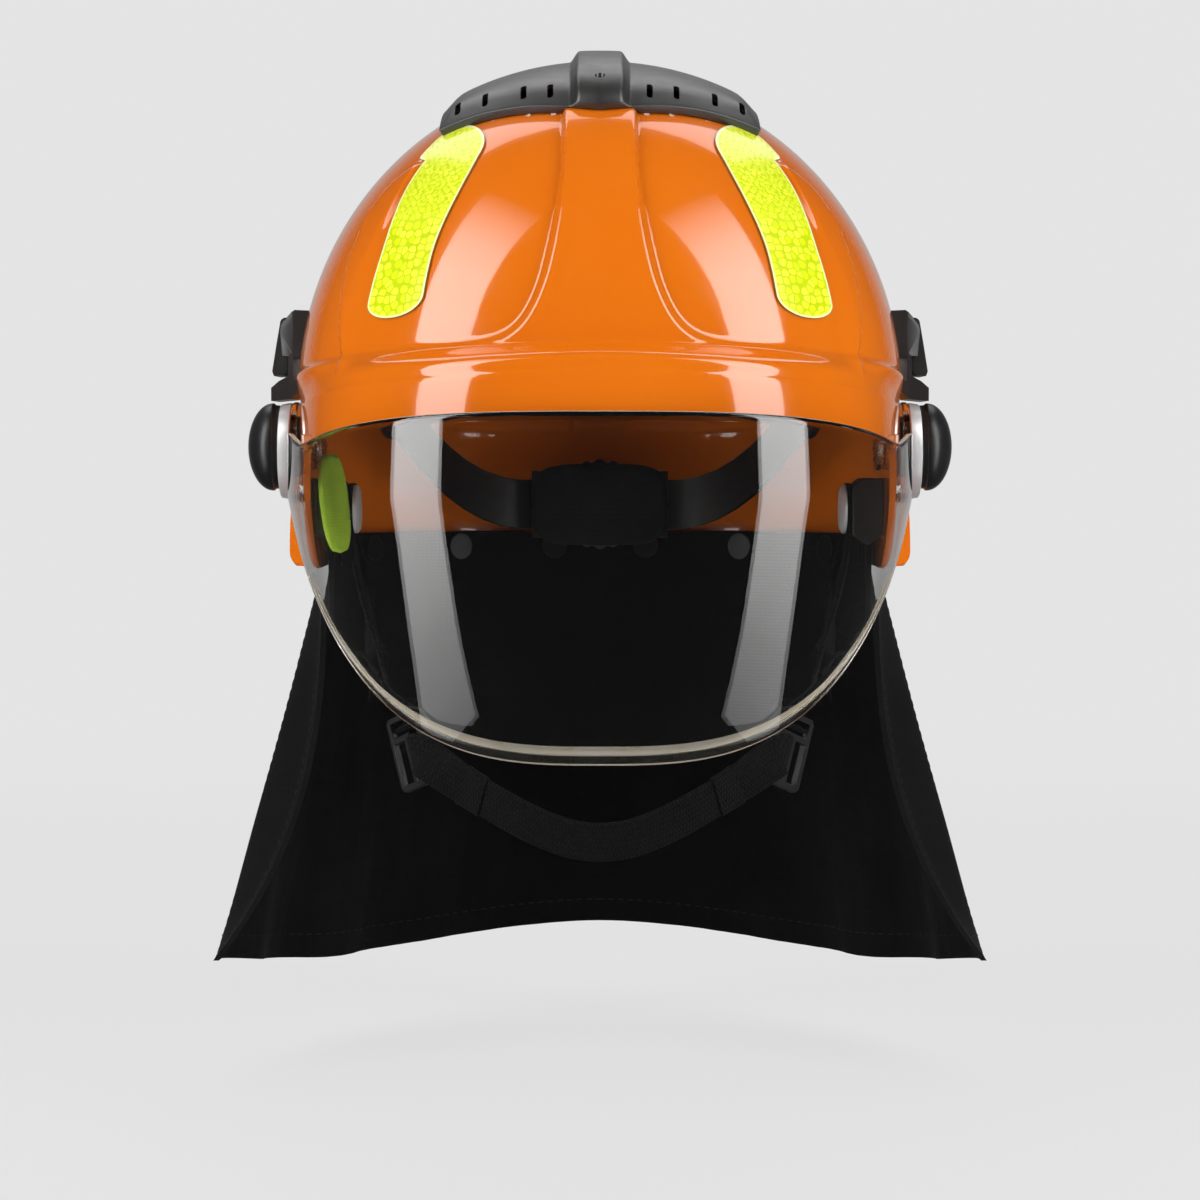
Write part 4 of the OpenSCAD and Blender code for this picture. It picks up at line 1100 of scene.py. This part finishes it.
def make_headband():
    marks = spread(-BAND_END, BAND_END, 150)
    rings, numbers = strip([head_spot(a, SWEAT_T + 0.3 + BAND_T / 2, band_level(a)) for a in marks],
                           [Z] * len(marks), [head_out(a) for a in marks], BAND_H, BAND_T)
    finish("headband_finished", tube(rings), black_look, ["headband"], 40, numbers=numbers)


def cushion(name, rings, look, nodes):
    finish(name, tube(rings), look, nodes)


def make_sweatband():
    """A padded band with sewn channels across it."""
    rings = []
    for a in spread(-SWEAT_END, SWEAT_END, 216):
        end = 1 - ((abs(a) / SWEAT_END) ** 14) * 0.6
        puff = 0.62 + 0.38 * abs(math.cos(math.radians(a * 180 / 9))) ** 0.35
        centre, out = head_spot(a, SWEAT_T / 2, band_level(a)), head_out(a)
        ring = []
        for k in range(28):
            c, q = cosd(k * 360 / 28), sind(k * 360 / 28)
            h = power(c, 0.45) * 0.5 * (BAND_H + 5.6) * end
            w = power(q, 0.8) * 0.5 * (SWEAT_T - 0.2) * (puff if q < 0 else 1) * end
            ring.append(tuple(centre + Z * h + out * w))
        rings.append(ring)
    cushion("sweatband_finished", rings, pad_look, ["sweatband"])


CROWN_TOP = DOME_Z + DOME_H - WALL - 1 - LINER_T - 8


def crown_spot(a, t, d):
    e = 90 * t
    p = head_spot(a, 11.5 - 13 * smooth((e - 6) / 24), 0)
    z = CROWN_LOW + (CROWN_TOP - CROWN_LOW + d) * sind(e)
    return Vector((p.x * cosd(e), HEAD_Y + (p.y - HEAD_Y) * cosd(e), z))


def make_crown_straps():
    shapes, numbers = [], {"across": [], "along": []}
    for a, d in ((CROWN_AZIMUTH, 0), (-CROWN_AZIMUTH, WEB_T + 0.6)):
        route = [crown_spot(a if t < 0 else a + 180, 1 - abs(t), d) for t in spread(-1, 1, 90)]
        wide = [Vector((cosd(a), sind(a), 0))] * len(route)
        thin = [w.cross(way).normalized() for w, way in zip(wide, headings(route))]
        rings, n = strip(route, wide, thin, CROWN_W, WEB_T)
        shapes.append(tube(rings))
        for key in numbers:
            numbers[key] += n[key]
    finish("crown_straps_finished", join(shapes), crown_web_look, ["crown_straps"], 50,
           numbers=numbers)


def make_crown_pad():
    """A round pad with a sewn ring and a soft edge."""
    top = CROWN_TOP - WEB_T / 2 - 0.4
    profile = ((0.2, 0), (4, 0), (22, -5.6), (26.6, -6.6), (27.8, -7.4), (27.4, -8.6), (25, -9.2), (22, -8.9),
               (20.5, -8.2), (19, -8.9), (14, -9.4), (6, -9.3), (0.2, -9.2))
    shape = tube([[(r * x, HEAD_Y + r * y, top + z) for r, z in profile] for x, y in circle(1, 72)], True)
    piece = finish("crown_pad_finished", shape, pad_look, ["crown_pad"])
    piece.modifiers.new("soft", "SUBSURF").levels = 1


def slab_pad(name, centre, side, up, out, w, h, t, look, nodes, groove=0.0, corner=4.0):
    """A rounded, crowned pad: side and up span its face, out points from its back to its front."""
    rings = []
    for u in spread(-1, 1, 40):
        reach = (1 - abs(u) ** corner) ** (1 / corner)
        ring = []
        for j in range(32):
            c, q = cosd(j * 11.25), sind(j * 11.25)
            x = power(c, 0.5) * 0.5 * w * reach
            crown = (1 - 0.55 * abs(c) ** 3) * reach ** 0.6
            dip = 1 - groove * math.exp(-((abs(u) - 0.5) * 12) ** 2)
            z = power(q, 0.7) * 0.5 * t * (crown * dip if q > 0 else 0.9 * reach ** 0.5)
            ring.append(tuple(Vector(centre) + side * x + up * (0.5 * h * u) + out * z))
        rings.append(ring)
    cushion(name, rings, look, nodes)


make_liner()
make_headband()
make_sweatband()
make_crown_straps()
make_crown_pad()
low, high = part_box("nape_pad")
slab_pad("nape_pad_finished", (low + high) / 2 / MM, Z, X, -Y, (high.z - low.z) / MM, (high.x - low.x) / MM,
         (high.y - low.y) / MM, pad_look, ["nape_pad"], 0.35)
low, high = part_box("temple_pad")
lean = Vector((sind(-6), 0, cosd(-6)))
along = Vector((sind(18), cosd(18), 0))
slab_pad("temple_pad_finished", (low + high) / 2 / MM - 5 * Z + 3 * X, along, lean, along.cross(lean),
         (high.y - low.y) / MM, 38, 5.2, lime_look, ["temple_pad"], 0.0, 2.6)


# Chin webbing

HANGER_X, HANGER_Y = 98, 4
ADJUSTER_AT = Vector((71, -35, -113))
ADJUSTER_UP = Vector((0.24, 0.22, 0.94)).normalized()
ADJUSTER_SIDE = ADJUSTER_UP.cross(Vector((0.62, 0.78, 0)).cross(ADJUSTER_UP)).normalized()
ADJUSTER_FACE = ADJUSTER_SIDE.cross(ADJUSTER_UP)


def on_adjuster(s, u, f):
    return ADJUSTER_AT + ADJUSTER_SIDE * s + ADJUSTER_UP * u + ADJUSTER_FACE * f


def mirrored(p, s=-1):
    return Vector((s * p[0], p[1], p[2]))


def curve_through(points, n):
    """Points on a smooth curve through the given ones, n for each stretch."""
    points = [Vector(p) for p in points]
    ends = [points[0] * 2 - points[1]] + points + [points[-1] * 2 - points[-2]]
    out = []
    for i in range(1, len(ends) - 2):
        a, b, c, d = ends[i - 1:i + 3]
        for k in range(n):
            t = k / n
            bend = (2 * a - 5 * b + 4 * c - d) * t * t + (3 * b - a - 3 * c + d) * t ** 3
            out.append(0.5 * (2 * b + (c - a) * t + bend))
    return out + [points[-1]]


def webbing(name, route, ways, nodes=(), w=WEB_W, t=WEB_T, n=10, s=1):
    """Webbing along a route, with the way across it given at each of the route's points."""
    route = [mirrored(p, s) for p in curve_through(route, n)]
    wide, thin = [], []
    for across, heading in zip(curve_through(ways, n), headings(route)):
        across, way = mirrored(across, s), heading.normalized()
        wide.append((across - way * across.dot(way)).normalized())
        thin.append(way.cross(wide[-1]))
    rings, numbers = strip(route, wide, thin, w, t, 0.3)
    finish(name, tube(rings), web_look, nodes, numbers=numbers)


WEB_X = HANGER_X - 0.3 - WEB_T / 2
FRONT_ROUTE = [(WEB_X, HANGER_Y, -14), (WEB_X, HANGER_Y, -36), (93, -4, -55), (86, -15, -76),
               (79.5, -24, -94), on_adjuster(0, 13, -5.5), on_adjuster(0, 8, 0.4)]
FRONT_WAYS = [(0, 1, 0), (0, 1, 0), (0, 1, 0), (0.1, 1, 0), (0.3, 0.9, 0), ADJUSTER_SIDE, ADJUSTER_SIDE]
REAR_ROUTE = [(100, 54, -40), (96.5, 42, -52), (92.5, 20, -68), (89.6, -2, -82), (86.4, -15, -91.5)]
REAR_WAYS = [(0.2, 0, 1), (0.1, 0.3, 1), (0, 0.6, 1), (0.1, 1, 0.6), (0.3, 1, 0.3)]
CHIN_HALF = [on_adjuster(-4.6, -4.4, -1), on_adjuster(-5, -4.4, 3.4), on_adjuster(-12, -4.6, 5),
             (52, -52, -123.5), (40, -59.5, -130), (24, -65, -138), (8, -67.5, -143.2)]
CHIN_WAYS = [ADJUSTER_UP, ADJUSTER_UP, ADJUSTER_UP, (0, -0.1, 1), (0, -0.2, 1), (0, -0.25, 1), (0, -0.25, 1)]


def make_webbing(side, s):
    webbing(f"front_strap_{side}_finished", FRONT_ROUTE, FRONT_WAYS, [f"front_strap_{side}"], s=s)
    webbing(f"rear_strap_{side}_finished", REAR_ROUTE, REAR_WAYS, [f"rear_strap_{side}"], s=s)


both(make_webbing)
webbing("chin_strap_finished", CHIN_HALF + [mirrored(p) for p in reversed(CHIN_HALF)],
        CHIN_WAYS + [mirrored(p) for p in reversed(CHIN_WAYS)], ["chin_strap"])
keeper = [(p, way) for p, way in list(zip(curve_through(CHIN_HALF, 10), curve_through(CHIN_WAYS, 10)))[11:]
          if 42.5 < p.x < 51.5]
for s in (1, -1):
    webbing(f"strap_keeper_{s}", *zip(*keeper), w=WEB_W + 1.2, t=WEB_T + 1.6, n=3, s=s)


# Neck cape

CAPE_TOP, CAPE_A0, CAPE_Z, CAPE_W, CAPE_REAR, CAPE_T = -36, 99, 200, 150.5, 138, 2
CAPE_IN, CAPE_FREE, CAPE_ROUND, CAPE_FACING, CAPE_HEM = 2, 0.067, 330, 25.5, 13
STITCH_IN, STITCH_UP = (5, 23), 11


def cape_point(u, v, d):
    a = lerp(CAPE_A0, 180, u)
    top = edge_r(a) - WALL - CAPE_IN - 0.3 - d
    s = 90 * u
    fold = 4.5 * v * sind(360 * 3.5 * u) * sind(180 * min(1, u * 1.4))
    x1 = (CAPE_W - d + fold) * max(0, cosd(s)) ** 0.8
    y1 = lerp(6, CAPE_REAR - d + fold, sind(s) ** 1.1)
    px, py = min(top * sind(a), FLANK_X - WALL - CAPE_IN - d + 8 * u + 40 * u * u), -top * cosd(a)
    x = (v - CAPE_FREE) / (1 - CAPE_FREE)
    w = lerp(v ** 3.1, 0.5 * (x + math.sqrt(x * x + 0.0006)), smooth(u / 0.08))
    drop = 12 * sind(171 * u) ** 1.5 + 4 * u * u
    return Vector((lerp(px, x1, w), lerp(py, y1, w), lerp(CAPE_TOP, -CAPE_Z - drop, v)))


def cape_ripple(u, v):
    """Small wrinkles that grow towards the hem, in millimetres."""
    x = u * 21
    soft = 0.5 * math.sin(3.1 * x + 2.2 * math.sin(1.7 * v * 3)) + 0.3 * math.sin(7.3 * x + 4 * v + 1)
    return soft * smooth(v * 1.5) * smooth(u * 14) * 0.5


def cape_depth(u, v, inside):
    """Depth of a face of the cape. The cloth is doubled along its front edge and hem, with a crisp step."""
    doubled = 1 - smooth(min(u * CAPE_ROUND - CAPE_FACING, (1 - v) * CAPE_Z - CAPE_HEM) / 1.2)
    return (CAPE_T - 0.4 + 0.35 * doubled if inside else -0.35 * doubled) + cape_ripple(u, v)


def make_cape():
    us = [2 * (1 - m) for m in ease_ends(150, 0.004) if m >= 0.5]
    vs = [1 - m for m in ease_ends(64, 0.004)]

    def columns(inside):
        side = [[tuple(cape_point(u, v, cape_depth(u, v, inside))) for v in vs] for u in us[::-1]]
        return side + [[(-x, y, z) for x, y, z in c] for c in side[-2::-1]]

    return finish("neck_cape_finished", wall(columns(False), columns(True)), cape_look, ["neck_cape"])


def stitches(name, paths, pitch=4.2, length=2.7, half=0.32):
    """Short threads along the lines, each a line of points with the way out of the cloth."""
    shapes = []
    for line in paths:
        room = 0.0
        for (p, out), (q, _) in zip(line, line[1:]):
            room += (q - p).length
            if room < pitch:
                continue
            room -= pitch
            way = (q - p).normalized()
            side = way.cross(out).normalized()
            ring = [side * x * half + out * y for x, y in ((1, -0.3), (0.7, 0.12), (-0.7, 0.12), (-1, -0.3))]
            shapes.append(tube([[p + way * t * length + o * k for o in ring] for t, k in
                                ((-0.5, 0.3), (-0.35, 1), (0.35, 1), (0.5, 0.3))]))
    return finish(name, join(shapes), thread_look)


def cape_skin(u, v, inside):
    """Place on the cape's outer or inner face, with the way out of it."""
    d = cape_depth(u, v, inside)
    p = cape_point(u, v, d)
    along = cape_point(u + 0.004, v, d) - cape_point(max(0, u - 0.004), v, d)
    down = cape_point(u, min(1, v + 0.01), d) - cape_point(u, max(0, v - 0.01), d)
    out = along.cross(down).normalized()
    away = out.dot(Vector((p.x, p.y, 0))) > 0
    return p, (out if away != inside else -out)


def cape_lines():
    """On both faces, two rows of stitches along each front edge and one along the hem."""
    lines = []
    for inside in (False, True):
        for inset in STITCH_IN:
            lines.append([cape_skin(inset / CAPE_ROUND, v, inside) for v in spread(0.1, 0.985, 400)])
        hem = spread(STITCH_IN[0] / CAPE_ROUND, 1, 900)
        lines.append([cape_skin(u, 1 - STITCH_UP / CAPE_Z, inside) for u in hem])
    return [one for line in lines for one in (line, [(mirrored(p), mirrored(out)) for p, out in line])]


cape = make_cape()
threads = stitches("cape_threads", cape_lines())


# Floor, backdrop and light

PALE, FLOOR_Z = (0.775, 0.775, 0.775, 1), -0.247


def backdrop():
    """A pale floor that curves up into a wall. It keeps the shadow near the object and glows further off."""
    bend = [(1.1 + 0.8 * sind(a), 0.8 - 0.8 * cosd(a)) for a in spread(0, 90, 14)]
    profile = [(-2.6, 0.0)] + bend + [(1.9, 3.2)]
    verts = [(x, y, FLOOR_Z + z) for x in (-3.5, 3.5) for y, z in profile]
    n = len(profile)
    mesh = bpy.data.meshes.new("floor")
    mesh.from_pydata(verts, [], [(i, i + n, i + n + 1, i + 1) for i in range(n - 1)])
    mesh.shade_smooth()
    look = Look("floor_pale", (0.74, 0.74, 0.74), 0.9)
    glow = look.add("Emission", {"Color": PALE, "Strength": 1.0}).outputs[0]
    path = look.add("LightPath").outputs
    seen = look.math("MAXIMUM", path["Is Camera Ray"], path["Is Transmission Ray"])
    back = look.add("SeparateXYZ", {0: look.place()}).outputs["Y"]
    share = look.times(seen, look.span(back, 0.1, 1.3, 0.88, 1.0, ease=True))
    lit = look.blend(share, look.main.outputs[0], glow)
    look.blend(path["Is Glossy Ray"], lit, look.add("BsdfTransparent").outputs[0])
    look.grain(300, 3, 0.00002)
    mesh.materials.append(look.material)
    add_object("floor", mesh)


def softbox(name, low_end, high_end, width, dim, bright):
    """A rectangular lamp between the middles of its lower and upper edge, dim below and bright above."""
    lamp = add_object(name, bpy.data.lights.new(name, "AREA"))
    low_end, high_end = Vector(low_end), Vector(high_end)
    up = (high_end - low_end).normalized()
    middle = (low_end + high_end) / 2
    back = (middle - up * middle.dot(up)).normalized()
    turn = Matrix((up.cross(back), up, back)).transposed()
    lamp.matrix_world = Matrix.Translation(middle) @ turn.to_4x4()
    light = lamp.data
    light.shape = "RECTANGLE"
    light.size, light.size_y = width, (high_end - low_end).length
    light.energy = math.pi * light.size * light.size_y
    light.use_nodes = True
    spot_on_lamp = add_node(light.node_tree, "NewGeometry").outputs["Parametric"]
    height = add_node(light.node_tree, "SeparateXYZ", {0: spot_on_lamp}).outputs["Y"]
    grade = add_node(light.node_tree, "MapRange", {"Value": height, "To Min": dim, "To Max": bright})
    light.node_tree.links.new(grade.outputs["Result"], light.node_tree.nodes["Emission"].inputs["Strength"])


def light_arc(s, azimuth, width, marks, reach=1.25):
    """Panels edge to edge at one side, from the elevation and the brightness at each joint."""
    def place(elevation):
        level = reach * cosd(elevation)
        return (s * level * sind(azimuth), -level * cosd(azimuth), reach * sind(elevation))

    for low, high in zip(marks, marks[1:]):
        softbox(f"softbox_{s}_{low[0]}", place(low[0]), place(high[0]), width, low[1], high[1])


# Elevation in degrees and brightness at each joint of the two tall strips of light
STRIP = ((-48, 1.1), (-32, 1.9), (-16, 3.3), (2, 4.9), (22, 5.9), (38, 5.4), (49, 4.0), (58, 1.8), (65, 0.0))
STRIP_AZIMUTH, STRIP_WIDTH = 56, 0.52


def make_world():
    """Pale to the camera, dimmer as fill, and dark in reflections apart from what lies straight behind."""
    world = bpy.data.worlds.new("world")
    scene.world = world
    world.use_nodes = True
    tree = world.node_tree
    sky = tree.nodes["Background"].inputs
    sky["Color"].default_value = PALE
    path = add_node(tree, "LightPath").outputs
    fill = add_node(tree, "MapRange", {"Value": path["Is Diffuse Ray"], "To Min": 1.0, "To Max": 0.3})
    direction = add_node(tree, "TexCoord").outputs["Generated"]
    behind = add_node(tree, "SeparateXYZ", {0: direction}).outputs["Y"]
    limits = {"From Min": 0.78, "From Max": 1.0, "To Min": 0.04, "To Max": 0.6}
    room = add_node(tree, "MapRange", {"Value": behind, **limits})
    levels = {0: path["Is Glossy Ray"], 2: fill.outputs["Result"], 3: room.outputs["Result"]}
    tree.links.new(add_node(tree, "Mix", levels).outputs[0], sky["Strength"])


backdrop()
for s in (-1, 1):
    light_arc(s, STRIP_AZIMUTH, STRIP_WIDTH, STRIP)
softbox("overhead", (0, 0.45, 1.35), (0, 1.13, 0.93), 1.5, 1.7, 1.4)
make_world()
scene.view_settings.view_transform = "Standard"
